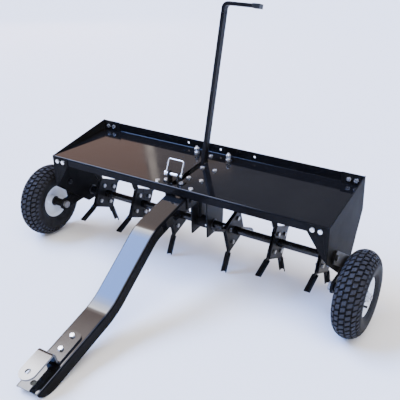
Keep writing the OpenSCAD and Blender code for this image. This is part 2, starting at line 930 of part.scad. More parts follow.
module floor_bolts() {
    color("silver") stand() {
        for (p = angle_spots)
            translate([p[0], p[1], 0])
                bolt(bolt_d, bolt_af, bolt_head_h, sheet_t + angle_t + nut_t + bolt_tail);
        for (p = hanger_spots)
            translate([p[0], p[1], 0])
                bolt(bolt_d, bolt_af, bolt_head_h, sheet_t + hanger_t + nut_t + bolt_tail);
        for (i = [0, 1])
            translate([latch_spots[i][0], latch_spots[i][1], ear_foot_t])
                bolt(bolt_d, bolt_af, bolt_head_h, ear_foot_t + sheet_t + latch_under[i] + nut_t + bolt_tail);
    }
}

module floor_nuts() {
    color("silver") stand() {
        for (p = angle_spots)
            translate([p[0], p[1], -sheet_t - angle_t])
                nut(bolt_d, bolt_af, nut_t);
        for (p = hanger_spots)
            translate([p[0], p[1], -sheet_t - hanger_t])
                nut(bolt_d, bolt_af, nut_t);
        for (i = [0, 1])
            translate([latch_spots[i][0], latch_spots[i][1], -sheet_t - latch_under[i]])
                nut(bolt_d, bolt_af, nut_t);
    }
}

module rear_studs() {
    low = sheet_t + angle_t + stud_nut_t + bolt_tail;
    color("silver") stand() for (p = stud_spots)
        translate([p[0], p[1], -low])
            cylinder(d = stud_d, h = low + stud_h);
}

module stud_nuts() {
    levels = [-sheet_t - angle_t, stud_nut_t, stud_nut_up + stud_nut_t];
    color("silver") stand() for (p = stud_spots, z = levels)
        translate([p[0], p[1], z])
            nut(stud_d, stud_af, stud_nut_t);
}

module centre_hanger() {
    inner = hanger_w - 2 * hanger_t;
    top_z = -sheet_t;
    color("dimgray") stand() difference() {
        union() {
            translate([-hanger_x, hanger_top_front, top_z - hanger_t])
                cube([hanger_w, hanger_rear - hanger_top_front, hanger_t]);
            for (x = [-hanger_x, hanger_x - hanger_t])
                across(x, hanger_t)
                    polygon([
                        [hanger_front, top_z],
                        [hanger_front, -hanger_low],
                        [hanger_foot_rear, -hanger_low],
                        [hanger_rear, top_z]]);
        }
        translate([lever_x - slot_w / 2, hanger_top_front - cut, top_z - hanger_t - cut])
            cube([slot_w, slot_rear - hanger_top_front + cut, hanger_t + 2 * cut]);
        translate([-hanger_x - cut, hanger_top_front - cut, top_z - hanger_t - cut])
            cube([hanger_x + lever_x + cut, hanger_front - hanger_top_front + cut, hanger_t + 2 * cut]);
        for (p = hanger_spots)
            translate([p[0], p[1], top_z])
                hole(bolt_d, cut, hanger_t + cut);
        translate([0, axle_y, axle_z])
            bar_x(-hanger_x - cut, hanger_x + cut, bush_d);
    }
}

// Flanged bush across the machine; the flange stands on the inner or outer end
module flanged_bush(from_x, to_x, flange_from) {
    difference() {
        union() {
            bar_x(from_x, to_x, bush_d);
            bar_x(flange_from, flange_from + bush_flange_t, bush_flange_d);
        }
        bar_x(from_x - cut, to_x + bush_flange_t + cut, shaft_d + 2 * run_gap);
    }
}

module hanger_bushes() {
    color("dimgray") stand() translate([0, axle_y, axle_z]) for (side = [0, 1])
        mirror([side, 0, 0])
            flanged_bush(hanger_x - hanger_t, hanger_x + bush_flange_t, hanger_x);
}

module panel_bushes() {
    flange_x = inside_x - bush_flange_t;
    color("dimgray") stand() translate([0, axle_y, axle_z]) for (side = [0, 1])
        mirror([side, 0, 0])
            flanged_bush(flange_x, brace_x, flange_x);
}

// Flat link with round ends in the side view
module link_shape(length, width) {
    translate([0, -width / 2])
        square([length, width]);
    circle(d = width);
    translate([length, 0])
        circle(d = width);
}

// Right bearing strap on the level machine
module bearing_strap() {
    up = axle_low - brace_low;
    back = brace_y - axle_y;
    difference() {
        translate([0, axle_y, axle_z])
            across(half_w, brace_t)
                rotate(atan2(up, back))
                    link_shape(sqrt(up * up + back * back), brace_w);
        translate([0, axle_y, axle_z])
            bar_x(half_w - cut, brace_x + cut, bush_d);
        translate([0, brace_y, -brace_low])
            bar_x(half_w - cut, brace_x + cut, brace_bolt_d + 2 * bolt_gap);
    }
}

module bearing_strap_left() {
    color("dimgray") stand() mirror([1, 0, 0]) bearing_strap();
}

module bearing_strap_right() {
    color("dimgray") stand() bearing_strap();
}

module strap_bolts() {
    length = brace_t + sheet_t + nut_t + bolt_tail;
    color("silver") stand() for (side = [-1, 1])
        translate([side * brace_x, brace_y, -brace_low])
            rotate([0, side * quarter, 0])
                bolt(brace_bolt_d, brace_af, bolt_head_h, length);
}

module strap_nuts() {
    color("silver") stand() for (side = [-1, 1])
        translate([side * inside_x, brace_y, -brace_low])
            rotate([0, side * quarter, 0])
                nut(brace_bolt_d, brace_af, nut_t);
}

module latch_ears() {
    color("dimgray") stand() translate([latch_x, 0, 0]) for (side = [0, 1])
        mirror([side, 0, 0]) difference() {
            union() {
                across(ear_in, ear_t) {
                    translate([latch_y - ear_w / 2, 0])
                        square([ear_w, latch_z]);
                    translate([latch_y, latch_z])
                        circle(d = ear_w);
                }
                translate([ear_in, latch_y - ear_w / 2, 0])
                    cube([ear_foot, ear_w, ear_foot_t]);
            }
            translate([0, latch_y, latch_z])
                bar_x(ear_in - cut, ear_out + cut, lock_d + 2 * run_gap);
            translate([latch_bolt_x, latch_bolt_y, 0])
                hole(bolt_d, ear_foot_t + cut, cut);
        }
}

// Frame of the lock pin, leaning with its bail
module on_lock() {
    translate([0, latch_y, latch_z])
        rotate([-bail_lean, 0, 0])
            children();
}

module lock_pin() {
    color("silver") stand() on_lock() difference() {
        union() {
            bar_x(lock_in, lock_in + lock_len, lock_d);
            bar_x(lock_in - lock_head_len, lock_in, lock_head_d);
        }
        for (x = [bail_left, bail_right])
            translate([x, 0, -lock_head_d])
                cylinder(d = wire_d + 2 * bolt_gap, h = 2 * lock_head_d);
    }
}

// One bent corner of the bail, from upright to level
module bail_corner() {
    rotate([quarter, 0, 0])
        rotate_extrude(angle = quarter)
            translate([bail_r, 0])
                circle(d = wire_d);
}

module lock_bail() {
    top = bail_h - bail_r;
    foot = lock_d / 4;
    color("silver") stand() on_lock() {
        for (x = [bail_left, bail_right])
            translate([x, 0, -foot])
                cylinder(d = wire_d, h = top + foot);
        translate([bail_right - bail_r, 0, top])
            bail_corner();
        translate([bail_left + bail_r, 0, top])
            mirror([1, 0, 0])
                bail_corner();
        translate([0, 0, bail_h])
            bar_x(bail_left + bail_r, bail_right - bail_r, wire_d);
    }
}

module lift_shaft() {
    color("gray") stand() translate([0, axle_y, axle_z]) difference() {
        bar_x(-shaft_end, shaft_end, shaft_d);
        translate([lever_pin_x, lever_hub_d, 0])
            rotate([quarter, 0, 0])
                cylinder(d = lever_pin_d, h = 2 * lever_hub_d);
    }
}

// Frame of the upper lever bar: zero at the knee, height runs up along it
module on_lever() {
    translate([lever_x, knee_y, 0])
        rotate([-lever_lean, 0, 0])
            children();
}

module lift_lever() {
    color("dimgray") stand() difference() {
        union() {
            translate([0, axle_y, axle_z])
                bar_x(-lever_hub_len / 2, lever_hub_len / 2, lever_hub_d);
            across(lever_x - lever_t / 2, lever_t)
                polygon(lever_side);
            on_lever() {
                translate([-grip_t / 2, -grip_w / 2, lever_straight - grip_root])
                    cube([grip_t, grip_w, grip_root]);
                translate([grip_t / 2 + grip_bend_r, grip_w / 2, lever_straight])
                    rotate([quarter, 0, 0])
                        rotate([0, 0, quarter])
                            rotate_extrude(angle = quarter)
                                translate([grip_bend_r, 0])
                                    square([grip_t, grip_w]);
                translate([grip_t / 2 + grip_bend_r, -grip_w / 2, lever_straight + grip_bend_r])
                    cube([grip_reach - grip_t / 2 - grip_bend_r, grip_w, grip_t]);
            }
        }
        translate([0, axle_y, axle_z]) {
            bar_x(-lever_hub_len, lever_hub_len, shaft_d);
            translate([lever_pin_x, lever_hub_d, 0])
                rotate([quarter, 0, 0])
                    cylinder(d = lever_pin_d, h = 2 * lever_hub_d);
        }
    }
}

module lever_pin() {
    color("silver") stand() translate([lever_pin_x, axle_y + lever_hub_d / 2, axle_z])
        rotate([quarter, 0, 0])
            cylinder(d = lever_pin_d, h = lever_hub_d);
}

module grip_cap() {
    cap_x = grip_reach - cap_len + cap_t;
    color("black") stand() on_lever() translate([cap_x, 0, lever_straight + grip_bend_r])
        difference() {
            translate([0, -grip_w / 2 - cap_t, -cap_t])
                cube([cap_len, grip_w + 2 * cap_t, grip_t + 2 * cap_t]);
            translate([-cap_t, -grip_w / 2, 0])
                cube([cap_len, grip_w, grip_t]);
        }
}

// Right wheel arm on the level machine
module wheel_arm() {
    difference() {
        translate([0, axle_y, axle_z])
            across(arm_x, arm_t)
                rotate(arm_turn)
                    link_shape(arm_len, arm_w);
        translate([0, axle_y, axle_z])
            bar_x(arm_x - cut, arm_out + cut, shaft_d);
        translate([0, wheel_y, wheel_z])
            bar_x(arm_x - cut, arm_out + cut, spindle_d);
    }
}

module wheel_arm_left() {
    color("dimgray") stand() mirror([1, 0, 0]) wheel_arm();
}

module wheel_arm_right() {
    color("dimgray") stand() wheel_arm();
}

module shaft_washers() {
    color("silver") stand() translate([0, axle_y, axle_z]) for (side = [0, 1])
        mirror([side, 0, 0])
            tube_x(arm_out, arm_out + washer_t, shaft_washer_d, shaft_d);
}

module shaft_nuts() {
    color("silver") stand() for (side = [-1, 1])
        translate([side * (arm_out + washer_t), axle_y, axle_z])
            rotate([0, -side * quarter, 0])
                nut(shaft_d, shaft_nut_af, shaft_nut_t);
}

module wheel_spindles() {
    color("silver") stand() for (side = [-1, 1])
        translate([side * arm_x, wheel_y, wheel_z])
            rotate([0, -side * quarter, 0])
                bolt(spindle_d, spindle_af, spindle_head_t, spindle_end - arm_x);
}

module hub_spacers() {
    color("dimgray") stand() translate([0, wheel_y, wheel_z]) for (side = [0, 1])
        mirror([side, 0, 0])
            tube_x(arm_out, hub_spacer_end, hub_spacer_d, spindle_d);
}

module spindle_washers() {
    color("silver") stand() translate([0, wheel_y, wheel_z]) for (side = [0, 1])
        mirror([side, 0, 0])
            tube_x(spindle_washer_x, spindle_nut_x, hub_spacer_d, spindle_d);
}

module spindle_nuts() {
    color("silver") stand() for (side = [-1, 1])
        translate([side * spindle_nut_x, wheel_y, wheel_z])
            rotate([0, -side * quarter, 0])
                nut(spindle_d, spindle_af, spindle_nut_t);
}

// Frame of a wheel: zero at its middle, height runs outwards
module on_wheel(side) {
    translate([side * wheel_x, wheel_y, wheel_z])
        rotate([0, side * quarter, 0])
            children();
}

// Round ring about the wheel's axis
module ring(from_z, to_z, d, bore) {
    difference() {
        translate([0, 0, from_z])
            cylinder(d = d, h = to_z - from_z);
        translate([0, 0, from_z - cut])
            cylinder(d = bore, h = to_z - from_z + 2 * cut);
    }
}

// Tread block that leans round the tyre, rooted inside the carcass
module tread_block() {
    far = block_len / 2;
    side = block_w / 2;
    corners = [[-side, -far], [side, -far], [side, far], [-side, far]];
    translate([0, 0, carcass_r - tyre_wall / 2])
        linear_extrude(height = block_top - carcass_r + tyre_wall / 2)
            polygon([for (p = corners) [p[0], p[1] + p[0] * block_lean]]);
}

// All rows of tread blocks, each row set on by half a block past the slant's end
module tread() {
    for (row = tread_rows)
        for (i = [0 : tread_count - 1])
            rotate([0, 0, i * tread_pitch + row * (tread_pitch / 2 - tread_slip)])
                translate([tyre_mid, 0, 0])
                    rotate([0, quarter - row * tread_turn, 0])
                        tread_block();
}

// Section of a tyre beside its axis: flat bands under the tread, round walls
module tyre_section() {
    seat = rim_w / 2 - rim_t;
    turns = [for (row = [0 : len(tread_rows)]) (row - len(tread_rows) / 2) * tread_turn];
    difference() {
        translate([tyre_mid, 0]) {
            polygon(concat([[0, 0]], [for (t = turns) carcass_r * [cos(t), sin(t)]]));
            difference() {
                circle(d = tyre_w);
                polygon([
                    [0, 0],
                    tyre_w * [cos(tread_edge), -sin(tread_edge)],
                    [tyre_w, -tyre_w],
                    [tyre_w, tyre_w],
                    tyre_w * [cos(tread_edge), sin(tread_edge)]
                ]);
            }
        }
        translate([tyre_mid, 0])
            circle(r = carcass_r - tyre_wall);
        translate([0, -tyre_w])
            square([bead_d / 2, 2 * tyre_w]);
        for (side = [0, 1])
            mirror([0, side])
                translate([0, seat])
                    square([rim_d / 2 + bolt_gap, tyre_w]);
    }
}

module tyre() {
    rotate_extrude()
        tyre_section();
    tread();
}

module rim() {
    half = rim_w / 2;
    difference() {
        union() {
            ring(-half, half, bead_d, bead_d - 2 * rim_t);
            ring(half - rim_t, half, rim_d, bead_d - 2 * rim_t);
            ring(-half, rim_t - half, rim_d, bead_d - 2 * rim_t);
            translate([0, 0, disc_out])
                cylinder(d = bead_d - rim_t, h = rim_t);
            translate([0, 0, -hub_len / 2])
                cylinder(d = hub_d, h = hub_len);
        }
        translate([0, 0, -hub_len])
            cylinder(d = hub_bush_d, h = 2 * hub_len);
        translate([valve_r, 0, 0])
            cylinder(d = valve_d, h = hub_len);
    }
}

module hub_bushes() {
    for (side = [0, 1])
        mirror([0, 0, side])
            difference() {
                union() {
                    translate([0, 0, hub_len / 2 - hub_bush_len])
                        cylinder(d = hub_bush_d, h = hub_bush_len);
                    translate([0, 0, hub_len / 2])
                        cylinder(d = hub_d, h = hub_flange_t);
                }
                cylinder(d = spindle_d + 2 * run_gap, h = hub_len);
            }
}

module valve() {
    translate([valve_r, 0, disc_out]) {
        translate([0, 0, rim_t])
            cylinder(d = valve_foot_d, h = valve_foot_h);
        cylinder(d = valve_d, h = valve_h);
    }
}

module tyre_left() {
    color("#202020") stand() on_wheel(-1) tyre();
}

module rim_left() {
    color("lightgray") stand() on_wheel(-1) rim();
}

module hub_bushes_left() {
    color("black") stand() on_wheel(-1) hub_bushes();
}

module valve_left() {
    color("black") stand() on_wheel(-1) valve();
}

module tyre_right() {
    color("#202020") stand() on_wheel(1) tyre();
}

module rim_right() {
    color("lightgray") stand() on_wheel(1) rim();
}

module hub_bushes_right() {
    color("black") stand() on_wheel(1) hub_bushes();
}

module valve_right() {
    color("black") stand() on_wheel(1) valve();
}

// Places a star's pieces at its spot on one side of the machine
module at_stars(side) {
    for (i = star_rank)
        translate([side * (star_first + i * star_gap), axle_y, axle_z])
            rotate([star_turn + (i == 0 ? inner_turn : 0), 0, 0])
                children();
}

// Two square plates of one star, with the corners along the tines
module star_plates() {
    for (x = [-star_half, tang_t / 2])
        across(x, star_t)
            difference() {
                intersection() {
                    rotate(corner)
                        square(star_side, center = true);
                    circle(r = star_corner_r);
                }
                circle(d = shaft_d + 2 * run_gap);
                for (k = star_arms)
                    rotate(k * quarter)
                        translate([star_bolt_r, 0])
                            circle(d = bolt_d + 2 * bolt_gap);
            }
}

// One tine along the depth direction: flat tang, then a half round spoon
module tine() {
    r = tine_w / 2;
    tip = tip_r - r;
    lap = r;
    difference() {
        translate([-tang_t / 2, tine_in, -r])
            cube([tang_t, spoon_in + lap - tine_in, tine_w]);
        translate([0, star_bolt_r, 0])
            bar_x(-tang_t, tang_t, bolt_d + 2 * bolt_gap);
    }
    intersection() {
        difference() {
            translate([0, spoon_in, 0])
                rotate([-quarter, 0, 0])
                    cylinder(r = r, h = tip_r - spoon_in);
            translate([0, spoon_in + lap, 0])
                rotate([-quarter, 0, 0])
                    cylinder(r = r - spoon_t, h = tip_r);
            translate([-tine_w, spoon_in - cut, -tine_w])
                cube([2 * tine_w, tip_r, tine_w]);
        }
        union() {
            translate([-tine_w, 0, -tine_w])
                cube([2 * tine_w, tip, 2 * tine_w]);
            translate([0, tip, 0])
                bar_x(-tine_w, tine_w, tine_w);
        }
    }
}

module star_tines() {
    for (k = star_arms)
        rotate([k * quarter, 0, 0])
            tine();
}

module star_bolts() {
    for (k = star_arms)
        rotate([k * quarter, 0, 0])
            translate([star_half, star_bolt_r, 0])
                rotate([0, quarter, 0])
                    bolt(bolt_d, bolt_af, bolt_head_h, 2 * star_half + nut_t + bolt_tail);
}

module star_nuts() {
    for (k = star_arms)
        rotate([k * quarter, 0, 0])
            translate([-star_half, star_bolt_r, 0])
                rotate([0, quarter, 0])
                    nut(bolt_d, bolt_af, nut_t);
}

// Tubes that space the stars along the shaft on the right side
module reel_spacers() {
    bore = shaft_d + 2 * run_gap;
    last = star_rank[2];
    tube_x(reel_in, star_first - star_half, spacer_d, bore);
    for (i = [0, 1]) {
        from_x = star_first + i * star_gap + star_half;
        tube_x(from_x, from_x + star_gap - 2 * star_half, spacer_d, bore);
    }
    tube_x(star_first + last * star_gap + star_half, reel_out, spacer_d, bore);
}

module star_plates_left() {
    color("dimgray") stand() at_stars(-1) star_plates();
}

module tines_left() {
    color("gray") stand() at_stars(-1) star_tines();
}

module reel_spacers_left() {
    color("dimgray") stand() translate([0, axle_y, axle_z]) mirror([1, 0, 0]) reel_spacers();
}

module star_bolts_left() {
    color("silver") stand() at_stars(-1) star_bolts();
}

module star_nuts_left() {
    color("silver") stand() at_stars(-1) star_nuts();
}

module star_plates_right() {
    color("dimgray") stand() at_stars(1) star_plates();
}

module tines_right() {
    color("gray") stand() at_stars(1) star_tines();
}

module reel_spacers_right() {
    color("dimgray") stand() translate([0, axle_y, axle_z]) reel_spacers();
}

module star_bolts_right() {
    color("silver") stand() at_stars(1) star_bolts();
}

module star_nuts_right() {
    color("silver") stand() at_stars(1) star_nuts();
}
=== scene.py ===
import json
import math

import bmesh
import bpy
from mathutils import Matrix, Vector


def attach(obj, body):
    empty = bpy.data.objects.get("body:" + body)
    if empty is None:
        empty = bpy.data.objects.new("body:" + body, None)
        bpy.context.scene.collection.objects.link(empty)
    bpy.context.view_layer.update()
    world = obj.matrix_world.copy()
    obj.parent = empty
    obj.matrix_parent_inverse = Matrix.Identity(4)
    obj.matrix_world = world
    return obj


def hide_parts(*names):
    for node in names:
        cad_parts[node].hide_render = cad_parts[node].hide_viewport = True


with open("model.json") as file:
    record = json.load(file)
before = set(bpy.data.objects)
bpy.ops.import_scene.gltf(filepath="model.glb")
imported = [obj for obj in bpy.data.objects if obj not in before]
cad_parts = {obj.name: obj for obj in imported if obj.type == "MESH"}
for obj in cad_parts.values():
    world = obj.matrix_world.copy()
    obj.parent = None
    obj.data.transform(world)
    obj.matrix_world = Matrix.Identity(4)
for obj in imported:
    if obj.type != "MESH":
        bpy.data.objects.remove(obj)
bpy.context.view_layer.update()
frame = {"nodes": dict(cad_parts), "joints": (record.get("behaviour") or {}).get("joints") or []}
nodes = frame["nodes"]

# Standing: the machine is measured level, with zero at the middle of the tray's
# front edge on its floor. It stands on two wheels and the tongue's nose, so all of
# it leans. The lean is read from the wheel axis and the reel axis, which are level.
axle = Vector((0, 0.178, -0.213))
joint_at = {j["name"]: Vector(j["pos_m"]) for j in frame["joints"]}
lean_way = joint_at["lift"] - joint_at["wheel_right_spin"]
stand_turn = Matrix.Rotation(math.atan2(lean_way.z, lean_way.y), 4, "X")
standing = Matrix.Translation(joint_at["lift"] - stand_turn @ axle) @ stand_turn
levelled = standing.inverted()


# Weight tray: one sheet of 3 mm steel, pressed with a turned down front edge and a
# turned up rear wall, then painted gloss black. The lever slot and the wall holes
# are punched, and a little dust has settled on the paint.
def wire(source, out, target, into):
    source.id_data.links.new(source.outputs[out], target.inputs[into])


def node_of(tree, kind, **values):
    """A node with its plain settings; an input gets a value, or a node and its output."""
    made = tree.nodes.new(kind)
    for key, value in values.items():
        label = key.replace("_", " ")
        if isinstance(value, tuple) and isinstance(value[0], bpy.types.Node):
            wire(*value, made, label)
        elif key in made.bl_rna.properties:
            setattr(made, key, value)
        else:
            made.inputs[label].default_value = value
    return made


def bare_finish(name):
    """A new material with its shader and the node that gives places on a piece."""
    mat = bpy.data.materials.new(name)
    mat.use_nodes = True
    made = mat.node_tree.nodes
    return mat, made["Principled BSDF"], made.new("ShaderNodeTexCoord")


def mottle(place, scale, detail=2.0, roughness=0.5):
    """A soft random pattern of the given fineness."""
    return node_of(
        place.id_data, "ShaderNodeTexNoise", Vector=(place, "Object"),
        Scale=scale, Detail=detail, Roughness=roughness,
    )


def tinted(pattern, out, shader, *stops):
    """Colours a shader by a pattern: each stop is a level and a colour."""
    tint = shader.id_data.nodes.new("ShaderNodeValToRGB")
    for stop, (level, colour) in zip(tint.color_ramp.elements, stops):
        stop.position = level
        stop.color = (*colour, 1)
    wire(pattern, out, tint, "Fac")
    wire(tint, "Color", shader, "Base Color")


def graded(pattern, shader, socket, low, high, **span):
    """Moves a shader's value between two ends by a pattern."""
    made = node_of(
        shader.id_data, "ShaderNodeMapRange", Value=(pattern, "Fac"), To_Min=low, To_Max=high, **span,
    )
    wire(made, "Result", shader, socket)


def embossed(pattern, shader, strength, depth):
    """Ripples a surface by a pattern."""
    bump = node_of(
        shader.id_data, "ShaderNodeBump", Height=(pattern, "Fac"), Strength=strength, Distance=depth,
    )
    wire(bump, "Normal", shader, "Normal")


def paint(name, colour, dust, rough, grime, orange_peel, shine):
    """Black paint: a thin film of dust in patches, uneven gloss and a fine ripple."""
    mat, shader, place = bare_finish(name)
    film = mottle(place, 9.0, 6.0, 0.65)
    speck = mottle(place, 420.0, 3.0)
    patch = node_of(mat.node_tree, "ShaderNodeMath", operation="MULTIPLY")
    wire(film, "Fac", patch, 0)
    wire(speck, "Fac", patch, 1)
    tinted(patch, "Value", shader, (0.16, colour), (0.46, dust))
    graded(film, shader, "Roughness", rough, rough + grime, From_Min=0.3, From_Max=0.75)
    embossed(mottle(place, 160.0), shader, orange_peel, 0.0004)
    shader.inputs["Specular IOR Level"].default_value = shine
    return mat


def road_film(mat, bright, dulled):
    """Lets the film of dust marked on a mesh's faces take the shine off its paint."""
    tree = mat.node_tree
    marked = node_of(tree, "ShaderNodeAttribute", attribute_name="film")
    graded(marked, tree.nodes["Principled BSDF"], "Specular IOR Level", bright, dulled)


def film_on(piece, dusty):
    """Marks how dusty each face is, by the way it looks and its place on the level machine."""
    marks = piece.data.attributes.new("film", "FLOAT", "FACE")
    turn = levelled.to_3x3()
    for face, mark in zip(piece.data.polygons, marks.data):
        mark.value = float(dusty(turn @ face.normal, levelled @ face.center))


def meshed(bm, name, outward=True):
    """A mesh from a bmesh, which is used up; its faces look outward or stay as they are."""
    mesh = bpy.data.meshes.new(name)
    if outward:
        bmesh.ops.recalc_face_normals(bm, faces=bm.faces)
    bm.to_mesh(mesh)
    bm.free()
    return mesh


def placed(name, data):
    """A new object in the scene."""
    thing = bpy.data.objects.new(name, data)
    bpy.context.scene.collection.objects.link(thing)
    return thing


def plain_copy(piece):
    """The mesh that a piece's modifiers leave."""
    seen = piece.evaluated_get(bpy.context.evaluated_depsgraph_get())
    return bpy.data.meshes.new_from_object(seen)


def finished(bm, name, body, slot, material, *stands_for, smooth=35):
    """Makes a level bmesh a piece in its standing place, on its body."""
    mesh = meshed(bm, name)
    mesh.transform(standing)
    mesh.shade_smooth()
    mesh.set_sharp_from_angle(angle=math.radians(smooth))
    piece = placed(name, mesh)
    evened = piece.modifiers.new("even_shading", "WEIGHTED_NORMAL")
    evened.keep_sharp = True
    evened.weight = 80
    piece.data = plain_copy(piece)
    piece.data.name = name
    piece.modifiers.clear()
    bpy.data.meshes.remove(mesh)
    piece.data.materials.clear()
    piece.data.materials.append(material)
    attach(piece, body)
    if stands_for:
        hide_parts(*stands_for)
    return piece


def shaped(bm, *steps):
    """Runs modifiers over a bmesh: each step names a modifier type and its settings."""
    blank = placed("shaping", meshed(bm, "shaping", outward=False))
    for kind, settings in steps:
        step = blank.modifiers.new(kind, kind)
        for key, value in settings.items():
            setattr(step, key, value)
    made = plain_copy(blank)
    result = bmesh.new()
    result.from_mesh(made)
    bpy.data.objects.remove(blank)
    return result


def turned(start, end, share):
    """A radius arm part of the way round from one direction to another."""
    return Matrix.Rotation(-start.angle_signed(end) * share, 2) @ start


def bent_line(points, radii, arc_steps=8):
    """A line in the side view with a round bend at each of its inner corners."""
    line = [Vector(points[0])]
    for before, corner, after, radius in zip(points, points[1:], points[2:], radii):
        a, c, b = Vector(before), Vector(corner), Vector(after)
        back, ahead = (a - c).normalized(), (b - c).normalized()
        opening = back.angle(ahead)
        reach = radius / math.tan(opening / 2)
        centre = c + (back + ahead).normalized() * (radius / math.sin(opening / 2))
        start, end = c + back * reach - centre, c + ahead * reach - centre
        for i in range(arc_steps + 1):
            line.append(centre + turned(start, end, i / arc_steps))
    line.append(Vector(points[-1]))
    return line


def grid_faces(bm, rows):
    for low, high in zip(rows, rows[1:]):
        for i in range(len(low) - 1):
            bm.faces.new((low[i], low[i + 1], high[i + 1], high[i]))


def pressed(bm, punches, sheet, edge):
    """Gives a bent surface its thickness, punches its holes and breaks its edges."""
    punch = placed("punch", meshed(punches, "punch"))
    made = shaped(
        bm,
        ("SOLIDIFY", sheet),
        ("BOOLEAN", {"operation": "DIFFERENCE", "solver": "EXACT", "object": punch}),
        ("BEVEL", {"segments": 2, "limit_method": "ANGLE", **edge}),
    )
    bpy.data.objects.remove(punch)
    return made


def prism(bm, outline, low, high, turn):
    """An outline carried from low to high along its own height, then turned."""
    bottom = [bm.verts.new(turn @ Vector((x, y, low))) for x, y in outline]
    top = [bm.verts.new(turn @ Vector((x, y, high))) for x, y in outline]
    bm.faces.new(bottom[::-1])
    bm.faces.new(top)
    for i in range(len(outline)):
        j = (i + 1) % len(outline)
        bm.faces.new((bottom[i], bottom[j], top[j], top[i]))


def circle(x, y, radius, count=28):
    steps = [math.tau * i / count for i in range(count)]
    return [(x + radius * math.cos(t), y + radius * math.sin(t)) for t in steps]


def round_slot(middle, half, low, high, count=12):
    """A slot with round ends: its middle line, half its width, its start and its stop."""
    steps = [math.pi * i / count for i in range(count + 1)]
    end = [(middle + half * math.cos(t), high - half + half * math.sin(t)) for t in steps]
    start = [(middle - half * math.cos(t), low + half - half * math.sin(t)) for t in steps]
    return end + start


sheet_t, tray_d, tray_half = 0.003, 0.291, 0.505
lip_h, wall_h, fold_r = 0.028, 0.0315, 0.0035
slot_mid, slot_half, slot_front, slot_rear = -0.017, 0.011, 0.014, 0.223
wall_hole_r, wall_hole_gap, wall_y, through = 0.004, 0.130, 0.290, 0.02
mid_t = sheet_t / 2
tray_line = bent_line(
    [(mid_t, -lip_h), (mid_t, -mid_t), (tray_d - mid_t, -mid_t), (tray_d - mid_t, wall_h)],
    [fold_r, fold_r],
)
floor_sheet = bmesh.new()
columns = (-tray_half, -0.25, 0, 0.25, tray_half)
grid_faces(floor_sheet, [[floor_sheet.verts.new((x, p.x, p.y)) for x in columns] for p in tray_line])
punches = bmesh.new()
lever_slot = round_slot(slot_mid, slot_half, slot_front, slot_rear)
prism(punches, lever_slot, -through, through, Matrix.Identity(4))
to_wall = Matrix.Rotation(math.pi / 2, 4, "X")
for hole_x in (-wall_hole_gap, 0.0, wall_hole_gap):
    prism(punches, circle(hole_x, wall_h / 2, wall_hole_r), -wall_y - through, -wall_y + through, to_wall)
floor_sheet = pressed(
    floor_sheet, punches, {"thickness": sheet_t, "offset": 0.0},
    {"width": 0.0004, "angle_limit": math.radians(60), "use_clamp_overlap": False},
)
tray_gloss = paint(
    "tray_gloss_black", (0.0040, 0.0040, 0.0048), (0.008, 0.0078, 0.0078), 0.045, 0.09, 0.02, 0.22,
)
tray = finished(floor_sheet, "weight_tray", "frame", "tray_paint", tray_gloss, "tray")
road_film(tray_gloss, 0.24, 0.04)
film_on(tray, lambda way, place: way.y < -0.5 and place.z < 0)


# End panels: flat plates of the same sheet, folded at the front into a gusset over
# the tray's edge and at the rear into a flange inside its wall. Their outsides are a
# flatter black than the tray.
def edge_broken(node, edge, folds=None, fold_edge=0.0, sharp=35):
    """A copy of a solid with its sharp edges broken, and larger rounds on its folds."""
    bm = bmesh.new()
    bm.from_mesh(nodes[node].data)
    bm.transform(levelled)
    bmesh.ops.remove_doubles(bm, verts=bm.verts, dist=2e-6)
    bmesh.ops.dissolve_limit(bm, angle_limit=math.radians(0.4), verts=bm.verts, edges=bm.edges)
    weight = bm.edges.layers.float.new("bevel_weight_edge")
    widest = max(edge, fold_edge)
    for e in bm.edges:
        if len(e.link_faces) == 2 and e.calc_face_angle(0) > math.radians(sharp):
            a, b = e.verts[0].co, e.verts[1].co
            e[weight] = fold_edge / widest if folds and folds(a) and folds(b) else edge / widest
    rounding = {
        "width": widest, "segments": 3, "limit_method": "WEIGHT", "use_clamp_overlap": False, "profile": 0.55,
    }
    return shaped(bm, ("BEVEL", rounding))


panel_out, gusset_front, near = 0.508, -0.003, 1e-4
both_sides = {"left": -1, "right": 1}


def panel_fold(p):
    return abs(abs(p.x) - panel_out) < near and abs(p.y - gusset_front) < near


panel_satin = paint(
    "panel_satin_black", (0.006, 0.006, 0.006), (0.017, 0.016, 0.015), 0.40, 0.16, 0.10, 0.012,
)
for side in both_sides:
    plate = edge_broken("end_panel_" + side, 0.0004, panel_fold, 0.0026)
    finished(plate, "end_plate_" + side, "frame", "panel_paint", panel_satin, "end_panel_" + side)


# Panel bolts and nuts: zinc plated M8 hexagon bolts, two in each corner of the tray,
# with their heads to the front. Each set is made at its seats, and every bolt has
# stopped at its own angle.
def zinc_plate(name, bright, dull, rough):
    """Bright zinc: cloudy plating, duller patches and faint handling marks."""
    mat, shader, place = bare_finish(name)
    cloud = mottle(place, 130.0, 4.0)
    tinted(cloud, "Fac", shader, (0.34, dull), (0.60, bright))
    graded(cloud, shader, "Roughness", rough + 0.14, rough)
    embossed(mottle(place, 900.0), shader, 0.12, 0.0002)
    shader.inputs["Metallic"].default_value = 0.86
    return mat


def sum_of(tree, operation, *sides):
    """A small sum; each side is a plain number, or a node with the name of its output."""
    made = node_of(tree, "ShaderNodeMath", operation=operation)
    for i, side_of in enumerate(sides):
        if isinstance(side_of, tuple):
            wire(*side_of, made, i)
        else:
            made.inputs[i].default_value = side_of
    return made, "Value"


